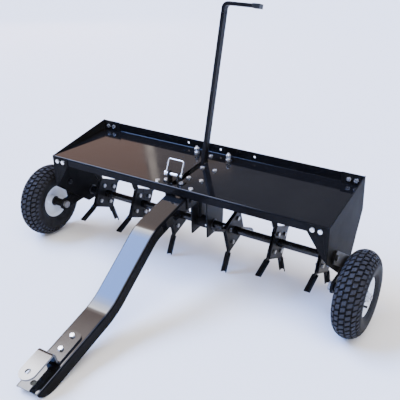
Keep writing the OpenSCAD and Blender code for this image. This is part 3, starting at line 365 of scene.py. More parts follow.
def inputs_for(tree, *rows):
    """The named inputs of a tree after its points, and the node that gives them."""
    tree.interface.new_socket("Points", in_out="INPUT", socket_type="NodeSocketGeometry")
    for label, kind in rows:
        tree.interface.new_socket(label, in_out="INPUT", socket_type="NodeSocket" + kind)
    tree.interface.new_socket("Pieces", in_out="OUTPUT", socket_type="NodeSocketGeometry")
    return tree.nodes.new("NodeGroupInput"), tree.nodes.new("NodeGroupOutput")


def handed_out(tree, copies, finish, result):
    """Makes a tree's copies real, gives them their finish and ends the tree."""
    real = node_of(tree, "GeometryNodeRealizeInstances", Geometry=copies)
    coated = node_of(tree, "GeometryNodeSetMaterial", Geometry=(real, "Geometry"), Material=finish)
    wire(coated, "Geometry", result, "Pieces")


hex_tree = bpy.data.node_groups.new("hexagon_set", "GeometryNodeTree")
given, result = inputs_for(
    hex_tree,
    ("Across flats", "Float"), ("Height", "Float"), ("Shank radius", "Float"),
    ("Both ends cut", "Bool"), ("Seed", "Int"), ("Finish", "Material"),
)
corner_radius = sum_of(hex_tree, "MULTIPLY", (given, "Across flats"), 1 / math.sqrt(3))
top_radius = sum_of(hex_tree, "MULTIPLY", (given, "Across flats"), 0.475)
flare = sum_of(hex_tree, "MULTIPLY", (given, "Height"), 1.75)
foot_radius = sum_of(hex_tree, "ADD", top_radius, flare)
tall = sum_of(hex_tree, "MULTIPLY", (given, "Height"), 1.4)
halfway = sum_of(hex_tree, "MULTIPLY", (given, "Height"), 0.5)
six = node_of(hex_tree, "GeometryNodeMeshCylinder", Vertices=6, Radius=corner_radius, Depth=tall)
raised = node_of(hex_tree, "ShaderNodeCombineXYZ", Z=halfway)
six_up = node_of(
    hex_tree, "GeometryNodeTransform", Geometry=(six, "Mesh"), Translation=(raised, "Vector"),
)
cuts = []
for upper, lower in ((top_radius, foot_radius), (foot_radius, top_radius)):
    cuts.append(node_of(
        hex_tree, "GeometryNodeMeshCone", Vertices=48, Radius_Top=upper, Radius_Bottom=lower,
        Depth=(given, "Height"),
    ))
head, nut_body = (
    node_of(hex_tree, "GeometryNodeMeshBoolean", operation="INTERSECT", solver="EXACT") for _ in cuts
)
wire(six_up, "Geometry", head, 1)
wire(cuts[0], "Mesh", head, 1)
wire(head, "Mesh", nut_body, 1)
wire(cuts[1], "Mesh", nut_body, 1)
chosen = node_of(hex_tree, "GeometryNodeSwitch", input_type="GEOMETRY", Switch=(given, "Both ends cut"))
wire(head, "Mesh", chosen, "False")
wire(nut_body, "Mesh", chosen, "True")
axis_of = node_of(hex_tree, "GeometryNodeInputNamedAttribute", data_type="FLOAT_VECTOR", Name="axis")
aimed = node_of(hex_tree, "FunctionNodeAlignRotationToVector", axis="Z", Vector=(axis_of, "Attribute"))
spin = node_of(hex_tree, "FunctionNodeRandomValue", data_type="FLOAT", Seed=(given, "Seed"))
spin.inputs[2].default_value, spin.inputs[3].default_value = 0.0, math.tau / 6
spin_turn = node_of(hex_tree, "FunctionNodeAxisAngleToRotation", Axis=(0, 0, 1), Angle=(spin, 1))
stopped = node_of(
    hex_tree, "FunctionNodeRotateRotation", rotation_space="LOCAL",
    Rotation=(aimed, "Rotation"), Rotate_By=(spin_turn, "Rotation"),
)
heads = node_of(
    hex_tree, "GeometryNodeInstanceOnPoints", Points=(given, "Points"),
    Instance=(chosen, "Output"), Rotation=(stopped, "Rotation"),
)
rod = node_of(
    hex_tree, "GeometryNodeMeshCylinder", Vertices=20, Depth=1.0, Radius=(given, "Shank radius"),
)
rod_down = node_of(
    hex_tree, "GeometryNodeTransform", Translation=(0, 0, -0.5), Geometry=(rod, "Mesh"),
)
length_of = node_of(hex_tree, "GeometryNodeInputNamedAttribute", data_type="FLOAT", Name="length")
stretch = node_of(hex_tree, "ShaderNodeCombineXYZ", X=1.0, Y=1.0, Z=(length_of, "Attribute"))
has_rod = sum_of(hex_tree, "GREATER_THAN", (length_of, "Attribute"), 0.0005)
rods = node_of(
    hex_tree, "GeometryNodeInstanceOnPoints", Points=(given, "Points"), Selection=has_rod,
    Instance=(rod_down, "Geometry"), Rotation=(aimed, "Rotation"), Scale=(stretch, "Vector"),
)
joined = node_of(hex_tree, "GeometryNodeJoinGeometry", Geometry=(rods, "Instances"))
wire(heads, "Instances", joined, "Geometry")
handed_out(hex_tree, (joined, "Geometry"), (given, "Finish"), result)


def made_by(tree, points, attributes, values):
    """The plain mesh that a tree makes at its points, as a bmesh."""
    mesh = bpy.data.meshes.new("seats")
    mesh.from_pydata([tuple(p) for p in points], [], [])
    for label, (kind, rows) in attributes.items():
        layer = mesh.attributes.new(label, kind, "POINT")
        for i, row in enumerate(rows):
            if kind == "FLOAT_VECTOR":
                layer.data[i].vector = row
            else:
                layer.data[i].value = row
    blank = placed("seats", mesh)
    maker = blank.modifiers.new("maker", "NODES")
    maker.node_group = tree
    sockets = {s.name: s.identifier for s in tree.interface.items_tree if s.in_out == "INPUT"}
    for label, value in values.items():
        maker[sockets[label]] = value
    blank.update_tag()
    made = plain_copy(blank)
    blank.modifiers.clear()
    bpy.data.objects.remove(blank)
    result_bm = bmesh.new()
    result_bm.from_mesh(made)
    return result_bm


def screwed(seats, size, seed, nut, material, name, body, slot, node):
    """Bolts or nuts at their seats: each seat is a place, a way out and a shank length."""
    places, ways, lengths = zip(*seats)
    made = made_by(
        hex_tree, places, {"axis": ("FLOAT_VECTOR", ways), "length": ("FLOAT", lengths)},
        {
            "Across flats": size["flats"], "Height": size["nut" if nut else "head"],
            "Shank radius": size["shank"], "Both ends cut": nut, "Seed": seed, "Finish": material,
        },
    )
    finished(made, name, body, slot, material, node)


zinc = zinc_plate("bright_zinc", (0.86, 0.87, 0.88), (0.55, 0.56, 0.58), 0.20)
m8 = {"flats": 0.013, "head": 0.0055, "nut": 0.0065, "shank": 0.004}
to_front, to_rear = Vector((0, -1, 0)), Vector((0, 1, 0))
corner_z, corner_shank = 0.015, 0.015
panel_heads, panel_backs = [], []
for x in (-0.483, -0.459, 0.459, 0.483):
    panel_heads += [
        (Vector((x, -sheet_t, -corner_z)), to_front, corner_shank),
        (Vector((x, tray_d - 2 * sheet_t, corner_z)), to_front, corner_shank),
    ]
    panel_backs += [
        (Vector((x, sheet_t, -corner_z)), to_rear, 0), (Vector((x, tray_d, corner_z)), to_rear, 0),
    ]
screwed(panel_heads, m8, 3, False, zinc, "panel_bolt_set", "frame", "zinc", "panel_bolts")
screwed(panel_backs, m8, 4, True, zinc, "panel_nut_set", "frame", "zinc", "panel_nuts")


# Tongue: a pressed channel of 4 mm steel, open below, with a bend down ahead of the
# tray, a bend level again, and sides that run out like a ski under the nose. Its
# long edges are rounded by the press, and its paint is as glossy as glass.
tongue_half, tongue_h, tongue_t, edge_r = 0.038, 0.038, 0.004, 0.006
neck, drop, nose = math.radians(8.5), math.radians(31.8), math.radians(11.3)
tail_y, neck_y, drop_y, tip_y, under_tray = 0.135, -0.170, -0.385, -0.691, -0.033
neck_bend_r, nose_bend_r, bend_steps = 0.150, 0.200, 12
ski_r, ski_tip, ski_steps = 0.060, 0.007, 16
hitch_in, hitch_r = 0.025, 0.00825
slit_front, slit_rear = 0.024, 0.2
station_gap, ski_gap, thin_edge = 0.03, 0.004, 0.001
tail_at = Vector((tail_y, under_tray + tail_y * math.tan(neck)))
neck_at = Vector((neck_y, under_tray + neck_y * math.tan(neck)))
drop_at = Vector((drop_y, neck_at.y + (drop_y - neck_y) * math.tan(drop)))
tip_at = Vector((tip_y, drop_at.y + (tip_y - drop_y) * math.tan(nose)))
top_line = bent_line([tail_at, neck_at, drop_at, tip_at], [neck_bend_r, nose_bend_r], bend_steps)
# On the nose, zero is at the tip on the top face, and the second axis runs back along it.
on_nose = Matrix.Translation((0, tip_at.x, tip_at.y)) @ Matrix.Rotation(nose, 4, "X")
stations = []
for here, after in zip(top_line, top_line[1:]):
    parts = max(1, int((after - here).length / station_gap))
    stations += [here.lerp(after, i / parts) for i in range(parts)]
ski_sunk = ski_r - tongue_h
ski_run = math.sqrt(ski_r ** 2 - (ski_sunk + ski_tip) ** 2)
way_back = (top_line[-2] - tip_at).normalized()
stations = [p for p in stations if (p - tip_at).length > ski_run + ski_gap]
stations += [tip_at + way_back * ski_run * (1 - i / ski_steps) for i in range(ski_steps + 1)]
foot = 1.0
quarter = [math.pi / 2 * i / 6 for i in range(7)]
section = [(-tongue_half, foot)]
section += [(-tongue_half + edge_r - edge_r * math.cos(t), edge_r - edge_r * math.sin(t)) for t in quarter]
section += [(0.0, 0.0)]
section += [(tongue_half - edge_r + edge_r * math.sin(t), edge_r - edge_r * math.cos(t)) for t in quarter]
section += [(tongue_half, foot)]
channel = bmesh.new()
rows = []
for i, p in enumerate(stations):
    before, after = stations[max(i - 1, 0)], stations[min(i + 1, len(stations) - 1)]
    along = (after - before).normalized()
    down = Vector((-along.y, along.x))
    if down.y > 0:
        down = -down
    from_tip = (p - stations[-1]).length
    deep = tongue_h
    if from_tip < ski_run:
        deep = math.sqrt(ski_r ** 2 - (ski_run - from_tip) ** 2) - ski_sunk
    row = []
    for x, depth in section:
        low = p + down * (deep if depth == foot else depth * min(1.0, (deep - thin_edge) / edge_r))
        row.append(channel.verts.new((x, low.x, low.y)))
    rows.append(row)
grid_faces(channel, rows)
bmesh.ops.recalc_face_normals(channel, faces=channel.faces)
if sum(f.normal.z * f.calc_area() for f in channel.faces) < 0:
    bmesh.ops.reverse_faces(channel, faces=channel.faces)
punches = bmesh.new()
prism(punches, circle(0, hitch_in, hitch_r), -0.03, 0.02, on_nose)
slit_left, slit_right = slot_mid - slot_half, slot_mid + slot_half
lever_slit = [
    (slit_left, slit_front), (slit_right, slit_front), (slit_right, slit_rear), (slit_left, slit_rear),
]
prism(punches, lever_slit, -0.06, 0.0, Matrix.Identity(4))
channel = pressed(
    channel, punches, {"thickness": tongue_t, "offset": -1.0, "use_even_offset": True},
    {"width": 0.0007, "angle_limit": math.radians(55), "use_clamp_overlap": True},
)
tongue_gloss = paint(
    "tongue_gloss_black", (0.0035, 0.0035, 0.004), (0.006, 0.006, 0.0062), 0.02, 0.035, 0.01, 0.25,
)
tongue = finished(channel, "tongue_channel", "frame", "tongue_paint", tongue_gloss, "tongue", smooth=40)
road_film(tongue_gloss, 0.42, 0.03)
film_on(tongue, lambda way, place: abs(way.x) > 0.6)


# Tongue angles: two folded angles under the tray's floor. Their hanging legs clasp
# the tongue's tail, and four black painted bolts go through both.
def dressed(node, edge, name, body, slot, material):
    """A solid with its edges broken, in the place of the plain solid."""
    finished(edge_broken(node, edge), name, body, slot, material, node)


frame_satin = paint(
    "frame_satin_black", (0.006, 0.006, 0.0065), (0.015, 0.0145, 0.014), 0.26, 0.16, 0.08, 0.05,
)
for side in both_sides:
    node = "tongue_angle_" + side
    dressed(node, 0.0005, "tongue_angle_steel_" + side, "frame", "frame_paint", frame_satin)
angle_out, channel_in, side_shank = 0.042, 0.034, 0.017
side_heads, side_backs = [], []
for way in (-1, 1):
    for y in (0.024, 0.112):
        z = under_tray + y * math.tan(neck) - tongue_h / 2
        side_heads.append((Vector((way * angle_out, y, z)), Vector((way, 0, 0)), side_shank))
        side_backs.append((Vector((way * channel_in, y, z)), Vector((-way, 0, 0)), 0))
bolt_black = paint("bolt_black", (0.010, 0.010, 0.011), (0.030, 0.028, 0.026), 0.26, 0.2, 0.1, 0.08)
screwed(side_heads, m8, 7, False, bolt_black, "tongue_bolt_set", "frame", "frame_paint", "tongue_bolts")
screwed(side_backs, m8, 8, True, bolt_black, "tongue_nut_set", "frame", "frame_paint", "tongue_nuts")


# Hitch strap: a flat 6 mm strap bolted to the nose by two zinc bolts. It steps up
# and forward into the upper ear of the clevis, with a round end and the pin hole.
strap_len, strap_half, strap_t, end_r = 0.199, 0.025, 0.006, 0.016
step_at, clevis_gap, step_r, long_run = 0.095, 0.040, 0.008, 0.05
low_mid, high_mid = strap_t / 2, clevis_gap + strap_t / 2
strap_line = bent_line(
    [(strap_len, low_mid), (step_at, low_mid), (step_at, high_mid), (0.0, high_mid)], [step_r, step_r],
)
strap_rows = []
for here, after in zip(strap_line, strap_line[1:]):
    length = (after - here).length
    shares = [0, 1]
    if length > long_run:
        shares = [0, 0.5, 1]
    if length > long_run and after is strap_line[-1]:
        rounded = [1 - math.sin(math.pi / 2 * i / 10) for i in range(11)]
        shares = [0] + [1 - strap_half / length * s for s in rounded]
    if length > long_run and here is strap_line[0]:
        rounded = [1 - math.cos(math.pi / 2 * i / 8) for i in range(9)]
        shares = [end_r / length * s for s in rounded] + [1]
    strap_rows += [here.lerp(after, s) for s in shares[:-1]]
    last = here.lerp(after, shares[-1])
strap_rows.append(last)
strap = bmesh.new()
rows = []
for p in strap_rows:
    half = strap_half
    if p.x < strap_half:
        half = max(math.sqrt(max(strap_half ** 2 - (strap_half - p.x) ** 2, 0)), 0.0006)
    if p.x > strap_len - end_r:
        half = strap_half - end_r + math.sqrt(max(end_r ** 2 - (p.x - strap_len + end_r) ** 2, 0))
    rows.append([strap.verts.new((half * t, p.x, p.y)) for t in (-1, -0.7, -0.35, 0, 0.35, 0.7, 1)])
grid_faces(strap, rows)
punches = bmesh.new()
prism(punches, circle(0, hitch_in, hitch_r), 0.03, 0.06, Matrix.Identity(4))
strap = pressed(
    strap, punches, {"thickness": strap_t, "offset": 0.0, "use_even_offset": True},
    {"width": 0.0008, "angle_limit": math.radians(50), "use_clamp_overlap": True},
)
strap.transform(on_nose)
hitch_gloss = paint(
    "hitch_gloss_black", (0.005, 0.005, 0.0055), (0.012, 0.012, 0.012), 0.05, 0.08, 0.03, 0.35,
)
strap = finished(strap, "hitch_strap_steel", "frame", "hitch_paint", hitch_gloss, "hitch_strap", smooth=40)
road_film(hitch_gloss, 1.0, 0.05)
ear_rear = -0.615


def strap_dust(way, place):
    """The ear is wiped bright by its pin, the step's front is dusty and the flat in between."""
    if place.y < ear_rear:
        return 0.0
    return 1.0 if way.y < -0.3 else 0.5


film_on(strap, strap_dust)
nose_up, strap_bolts_at, strap_shank = on_nose.to_3x3() @ Vector((0, 0, 1)), (0.135, 0.183), 0.019
strap_heads = [(on_nose @ Vector((0, s, strap_t)), nose_up, strap_shank) for s in strap_bolts_at]
strap_backs = [(on_nose @ Vector((0, s, -tongue_t)), -nose_up, 0) for s in strap_bolts_at]
screwed(strap_heads, m8, 11, False, zinc, "hitch_bolt_set", "frame", "zinc", "hitch_bolts")
screwed(strap_backs, m8, 12, True, zinc, "hitch_nut_set", "frame", "zinc", "hitch_nuts")


# Floor bolts: the zinc bolts through the tray that carry the angles, the hanger and
# the latch, with their nuts underneath. Each spot is its place, the thickness of
# what lies on the floor there, and of what is clamped below.
up, below = Vector((0, 0, 1)), Vector((0, 0, -1))
floor_spots = [
    (-0.073, 0.012, 0, 0.004), (0.051, 0.012, 0, 0.004), (0.051, 0.075, 0, 0.004), (0.051, 0.160, 0, 0.004),
    (0.0045, 0.075, 0, 0.005), (0.0045, 0.160, 0, 0.005), (-0.017, 0.251, 0, 0.005),
    (-0.0493, 0.027, 0.003, 0.004), (0.0053, 0.027, 0.003, 0),
]
past_floor = 0.009
floor_heads = [
    (Vector((x, y, on)), up, on + sheet_t + under + past_floor) for x, y, on, under in floor_spots
]
floor_backs = [(Vector((x, y, -sheet_t - under)), below, 0) for x, y, on, under in floor_spots]
screwed(floor_heads, m8, 15, False, zinc, "floor_bolt_set", "frame", "zinc", "floor_bolts")
screwed(floor_backs, m8, 16, True, zinc, "floor_nut_set", "frame", "zinc", "floor_nuts")


# Rear studs: two lengths of M10 threaded rod at the back of the floor, each with a
# nut below, one on the floor and one near its top, to hold weights down.
def lathe(bm, profile, turn, count=48, closed=False):
    """Turns a profile of radius and height about its axis; a zero radius makes a point."""
    rings = []
    steps = [math.tau * i / count for i in range(count)]
    for radius, height in profile:
        if radius < 1e-7:
            rings.append([bm.verts.new(turn @ Vector((0, 0, height)))])
        else:
            ring = [Vector((radius * math.cos(t), radius * math.sin(t), height)) for t in steps]
            rings.append([bm.verts.new(turn @ p) for p in ring])
    if closed:
        rings.append(rings[0])
    for low, high in zip(rings, rings[1:]):
        for i in range(count):
            j = (i + 1) % count
            if len(low) == 1 and len(high) > 1:
                bm.faces.new((low[0], high[j], high[i]))
            elif len(high) == 1 and len(low) > 1:
                bm.faces.new((low[i], low[j], high[0]))
            elif len(low) > 1:
                bm.faces.new((low[i], low[j], high[j], high[i]))


stud_low, stud_top, thread_foot, half_pitch = -0.0175, 0.0280, -0.0168, 0.00075
crest_r, root_r, end_cut_r = 0.0050, 0.0044, 0.0042
stud_spots = ((-0.073, 0.251), (0.051, 0.251))
thread = [(0.0, stud_low), (end_cut_r, stud_low)]
thread += [(crest_r if i % 2 else root_r, thread_foot + i * half_pitch) for i in range(59)]
thread += [(end_cut_r, stud_top), (0.0, stud_top)]
studs = bmesh.new()
for x, y in stud_spots:
    lathe(studs, thread, Matrix.Translation((x, y, 0)), 20)
finished(studs, "rear_stud_rods", "frame", "zinc", zinc, "rear_studs", smooth=60)
m10_nut = {"flats": 0.016, "nut": 0.008, "shank": 0.005}
stud_backs = []
for x, y in stud_spots:
    stud_backs += [(Vector((x, y, z)), way, 0) for z, way in ((-0.007, below), (0, up), (0.014, up))]
screwed(stud_backs, m10_nut, 19, True, zinc, "stud_nut_set", "frame", "zinc", "stud_nuts")


# Centre hanger: a folded bracket of 5 mm steel, bolted under the floor, whose two
# plates carry the reel shaft in black nylon bushes.
dressed("centre_hanger", 0.0006, "centre_hanger_steel", "frame", "frame_paint", frame_satin)


def plastic(name, colour, rough, grain, shine):
    """Moulded plastic or rubber: an even colour with a fine grain and dull patches."""
    mat, shader, place = bare_finish(name)
    cloud = mottle(place, 40.0, 5.0)
    tinted(cloud, "Fac", shader, (0.3, colour), (0.75, [c * 2.2 + 0.002 for c in colour]))
    graded(cloud, shader, "Roughness", rough - 0.08, rough + 0.10)
    embossed(mottle(place, 700.0), shader, grain, 0.0003)
    shader.inputs["Specular IOR Level"].default_value = shine
    return mat


nylon = plastic("black_nylon", (0.012, 0.012, 0.013), 0.42, 0.1, 0.3)
for solid in ("hanger_bushes", "panel_bushes"):
    dressed(solid, 0.0004, solid + "_nylon", "frame", "bush", nylon)


# Bearing straps: a flat link outside each end panel that holds the outer bush of the
# reel shaft, bolted to the panel at its upper end by a black bolt.
arm_satin = paint(
    "arm_satin_black", (0.005, 0.005, 0.0055), (0.014, 0.0135, 0.013), 0.26, 0.16, 0.08, 0.03,
)
for side in both_sides:
    node = "bearing_strap_" + side
    dressed(node, 0.0006, "bearing_strap_steel_" + side, "frame", "arm_paint", arm_satin)
m10 = {"flats": 0.017, "head": 0.0055, "nut": 0.0065, "shank": 0.005}
link_out, panel_in, link_y, link_z, link_shank = 0.514, 0.505, 0.062, -0.130, 0.018
link_heads, link_backs = [], []
for way in (-1, 1):
    link_heads.append((Vector((way * link_out, link_y, link_z)), Vector((way, 0, 0)), link_shank))
    link_backs.append((Vector((way * panel_in, link_y, link_z)), Vector((-way, 0, 0)), 0))
screwed(link_heads, m10, 23, False, bolt_black, "strap_bolt_set", "frame", "zinc", "strap_bolts")
screwed(link_backs, m10, 24, True, bolt_black, "strap_nut_set", "frame", "zinc", "strap_nuts")


# Latch: two black ears bolted over the slot, a zinc lock pin across them and its
# square wire bail, which swings over to keep the pin in.
latch_satin = paint(
    "latch_satin_black", (0.007, 0.007, 0.0075), (0.018, 0.017, 0.016), 0.24, 0.15, 0.08, 0.08,
)
dressed("latch_ears", 0.0006, "latch_ear_pair", "frame", "latch_paint", latch_satin)
pin_zinc = zinc_plate("pin_zinc", (0.88, 0.89, 0.90), (0.62, 0.63, 0.65), 0.14)
dressed("lock_pin", 0.0007, "lock_pin_steel", "lock", "pin_zinc", pin_zinc)
dressed("lock_bail", 0.0004, "lock_bail_wire", "lock", "pin_zinc", pin_zinc)


# Lift shaft and lever: a plain steel shaft from arm to arm, and a flat bar lever
# pinned to it that comes up through the slot and bends over into a grip with a
# plastic end cap.
shaft_steel = zinc_plate("plain_steel", (0.34, 0.34, 0.35), (0.14, 0.13, 0.12), 0.32)
dressed("lift_shaft", 0.0008, "lift_shaft_bar", "lift", "shaft_steel", shaft_steel)
lever_satin = paint(
    "lever_satin_black", (0.005, 0.005, 0.006), (0.012, 0.0115, 0.0115), 0.26, 0.14, 0.06, 0.05,
)
dressed("lift_lever", 0.0016, "lift_lever_bar", "lift", "lever_paint", lever_satin)
dressed("lever_pin", 0.0005, "lever_pin_steel", "lift", "zinc", zinc)
cap_black = plastic("cap_black", (0.010, 0.010, 0.010), 0.45, 0.15, 0.12)
dressed("grip_cap", 0.0012, "grip_end_cap", "lift", "cap_plastic", cap_black)


# Wheel arms: a flat crank on each end of the shaft, held by a washer and a black nut.
# The wheel spindle goes out through its other end as a long plain steel bolt with a
# zinc nut, and a black tube keeps the wheel off the arm.
for side in both_sides:
    node = "wheel_arm_" + side
    dressed(node, 0.0012, "wheel_arm_steel_" + side, "lift", "arm_paint", arm_satin)
dressed("hub_spacers", 0.0006, "hub_spacer_tubes", "lift", "arm_paint", arm_satin)
for solid in ("shaft_washers", "spindle_washers"):
    dressed(solid, 0.0004, solid + "_zinc", "lift", "zinc", zinc)
wheel_mid = Vector((0.5927, 0.037, -0.213))
shaft_nut = {"flats": 0.028, "nut": 0.009, "shank": 0.0095}
spindle = {"flats": 0.024, "head": 0.010, "nut": 0.010, "shank": 0.008}
shaft_nut_x, spindle_head_x, spindle_nut_x, spindle_shank = 0.5265, 0.516, 0.6227, 0.1192
shaft_backs, spindle_heads, spindle_backs = [], [], []
for way in (-1, 1):
    out = Vector((way, 0, 0))
    shaft_backs.append((Vector((way * shaft_nut_x, axle.y, axle.z)), out, 0))
    spindle_heads.append((Vector((way * spindle_head_x, wheel_mid.y, wheel_mid.z)), -out, spindle_shank))
    spindle_backs.append((Vector((way * spindle_nut_x, wheel_mid.y, wheel_mid.z)), out, 0))
screwed(shaft_backs, shaft_nut, 27, True, bolt_black, "shaft_nut_set", "lift", "zinc", "shaft_nuts")
names = ("wheel_spindle_bolts", "lift", "zinc", "wheel_spindles")
screwed(spindle_heads, spindle, 28, False, shaft_steel, *names)
screwed(spindle_backs, spindle, 29, True, zinc, "spindle_nut_set", "lift", "zinc", "spindle_nuts")


# Rims: two pressed steel dishes on a hub tube, painted pale grey, with rolled lips
# that hold the tyre's beads. Nylon bushes in the hub run on the spindle.
def pale_paint(name, colour, dirt):
    """Pale paint with a brush of dirt and a soft sheen."""
    mat, shader, place = bare_finish(name)
    cloud = mottle(place, 24.0, 7.0, 0.7)
    tinted(cloud, "Fac", shader, (0.46, colour), (0.82, dirt))
    graded(cloud, shader, "Roughness", 0.22, 0.48)
    return mat


def wheel_frame(way):
    """Zero at the wheel's middle; its height runs outwards along the axle."""
    to_middle = Matrix.Translation((way * wheel_mid.x, wheel_mid.y, wheel_mid.z))
    return to_middle @ Matrix.Rotation(way * math.pi / 2, 4, "Y")


rim_grey = pale_paint("rim_pale_grey", (0.74, 0.77, 0.80), (0.50, 0.50, 0.50))
# Each point is a radius and a place along the axle, outer dish first.
rim_line = [
    (0.0605, 0.0290), (0.0602, 0.0304), (0.0592, 0.0310), (0.0580, 0.0308), (0.0568, 0.0298),
    (0.0545, 0.0270), (0.0500, 0.0225), (0.0440, 0.0170), (0.0400, 0.0140), (0.0360, 0.0126),
    (0.0280, 0.0122), (0.0200, 0.0122), (0.0186, 0.0130), (0.0180, 0.0145), (0.0180, 0.0250),
    (0.0130, 0.0250), (0.0130, -0.0250), (0.0180, -0.0250), (0.0180, -0.0090), (0.0190, -0.0062),
    (0.0215, -0.0050), (0.0290, -0.0056), (0.0370, -0.0080), (0.0430, -0.0120), (0.0490, -0.0185),
    (0.0540, -0.0255), (0.0568, -0.0298), (0.0580, -0.0308), (0.0592, -0.0310), (0.0602, -0.0304),
    (0.0605, -0.0290), (0.0600, -0.0280), (0.0540, -0.0262), (0.0508, -0.0240), (0.0508, 0.0240),
    (0.0540, 0.0262), (0.0600, 0.0280),
]
for side, way in both_sides.items():
    body = "wheel_" + side
    dish = bmesh.new()
    lathe(dish, rim_line, wheel_frame(way), 72, closed=True)
    finished(dish, "rim_dish_" + side, body, "rim", rim_grey, "rim_" + side, smooth=50)
    dressed("hub_bushes_" + side, 0.0004, "hub_bush_nylon_" + side, body, "bush", nylon)


# Tyres: 4.10/3.50-4 rubber tyres with a round section. Rows of slanted tread blocks
# stand on the carcass, shoulder lugs run over the edge, and two ribs ring each wall.
tread_tree = bpy.data.node_groups.new("tread_blocks", "GeometryNodeTree")
given, result = inputs_for(
    tread_tree,
    ("Long", "Float"), ("Wide", "Float"), ("Tall", "Float"), ("Slant", "Float"), ("Rubber", "Material"),
)
size = node_of(
    tread_tree, "ShaderNodeCombineXYZ", X=(given, "Long"), Y=(given, "Wide"), Z=(given, "Tall"),
)
lump = node_of(tread_tree, "GeometryNodeMeshCube", Size=(size, "Vector"))
spot = node_of(tread_tree, "GeometryNodeInputPosition")
parted = node_of(tread_tree, "ShaderNodeSeparateXYZ", Vector=(spot, "Position"))
on_top = sum_of(tread_tree, "GREATER_THAN", (parted, "Z"), 0.0)
shrink = sum_of(tread_tree, "MULTIPLY", on_top, -0.14)
keep = sum_of(tread_tree, "ADD", shrink, 1.0)
lean_by = sum_of(tread_tree, "MULTIPLY", (parted, "Y"), (given, "Slant"))
slid = sum_of(tread_tree, "ADD", (parted, "X"), lean_by)
moved = node_of(
    tread_tree, "ShaderNodeCombineXYZ", X=sum_of(tread_tree, "MULTIPLY", slid, keep),
    Y=sum_of(tread_tree, "MULTIPLY", (parted, "Y"), keep), Z=(parted, "Z"),
)
block = node_of(
    tread_tree, "GeometryNodeSetPosition", Geometry=(lump, "Mesh"), Position=(moved, "Vector"),
)
out_of, round_of = (
    node_of(tread_tree, "GeometryNodeInputNamedAttribute", data_type="FLOAT_VECTOR", Name=label)
    for label in ("outward", "round")
)
upright = node_of(
    tread_tree, "FunctionNodeAlignRotationToVector", axis="Z", Vector=(out_of, "Attribute"),
)
headed = node_of(
    tread_tree, "FunctionNodeAlignRotationToVector", axis="X", pivot_axis="Z",
    Rotation=(upright, "Rotation"), Vector=(round_of, "Attribute"),
)
blocks = node_of(
    tread_tree, "GeometryNodeInstanceOnPoints", Points=(given, "Points"),
    Instance=(block, "Geometry"), Rotation=(headed, "Rotation"),
)
handed_out(tread_tree, (blocks, "Instances"), (given, "Rubber"), result)

# The tops of the blocks, which are marked on their faces, are scuffed a little paler, and their bluish tint
# is a painted sheen of the sky.
rubber = plastic("tyre_rubber", (0.009, 0.0087, 0.0090), 0.55, 0.25, 0.05)
rubber_tree = rubber.node_tree
moulded = next(n for n in rubber_tree.nodes if n.bl_idname == "ShaderNodeValToRGB")
scuff = node_of(rubber_tree, "ShaderNodeAttribute", attribute_name="scuff")
worn_and_sheen = node_of(rubber_tree, "ShaderNodeMix", data_type="RGBA")
# One paler bluish colour for the block tops: their scuffing, and a painted sheen of the sky on them.
worn_and_sheen.inputs[7].default_value = (0.028, 0.0285, 0.033, 1)
wire(scuff, "Fac", worn_and_sheen, 0)
wire(moulded, "Color", worn_and_sheen, 6)
wire(worn_and_sheen, 2, rubber_tree.nodes["Principled BSDF"], "Base Color")
tyre_r, section_mid, half_wide, around = 0.1325, 0.089, 0.0435, 42
row_turn, lug_turn, lean = math.radians(23), math.radians(22), math.tan(math.radians(20))
row_slip = math.pi / around - math.atan2(half_wide * math.sin(row_turn) * lean, tyre_r)
tread_reach, shoulder_reach, wall_reach, lining_reach = 0.0376, 0.0400, 0.0430, 0.0345
tread_end, shoulder_end, shoulder_fade, bead_end = 57, 73, 6, 142
rib_angles, rib_h = (82, 114), 0.0006
block_reach, block_top, tread_edge = 0.0399, 0.0412, 0.012
crown_block, lug_block = (0.0140, 0.0146, 0.0066), (0.0095, 0.0115, 0.0062)


def tread_row(way, row, tilt, reach):
    """Block seats of one row: its number from the crown, its tilt and its height."""
    turn = wheel_frame(way)
    spots, outs, rounds = [], [], []
    for i in range(around):
        t = math.tau * i / around + row * row_slip
        radial, across = Vector((math.cos(t), math.sin(t), 0)), Vector((0, 0, 1))
        out = radial * math.cos(tilt) + across * math.sin(tilt)
        spots.append(turn @ (radial * section_mid + out * reach))
        outs.append(turn.to_3x3() @ out)
        rounds.append(turn.to_3x3() @ Vector((-math.sin(t), math.cos(t), 0)))
    return spots, outs, rounds


def add_blocks(bm, rows_of_blocks, long, wide, tall):
    """Stands the blocks of some rows on a casing."""
    spots, outs, rounds = ([item for row in rows_of_blocks for item in row[i]] for i in range(3))
    made = made_by(
        tread_tree, spots, {"outward": ("FLOAT_VECTOR", outs), "round": ("FLOAT_VECTOR", rounds)},
        {"Long": long, "Wide": wide, "Tall": tall, "Slant": -lean, "Rubber": rubber},
    )
    kept = meshed(made, "blocks", outward=False)
    bm.from_mesh(kept)
    bpy.data.meshes.remove(kept)


def carcass_line():
    """The tyre's outside from bead to bead, closed by its inside."""
    line = []
    for i in range(-bead_end, bead_end + 1, 4):
        t = abs(i)
        reach = tread_reach
        if t > tread_end:
            rise = min(1.0, max(0.0, (t - shoulder_end) / shoulder_fade))
            reach = shoulder_reach + (wall_reach - shoulder_reach) * rise
        if any(abs(t - rib) <= 1 for rib in rib_angles):
            reach += rib_h
        line.append((reach, math.radians(i)))
    line += [(lining_reach, math.radians(i)) for i in range(138, -139, -12)]
    return [(section_mid + reach * math.cos(t), reach * math.sin(t)) for reach, t in line]


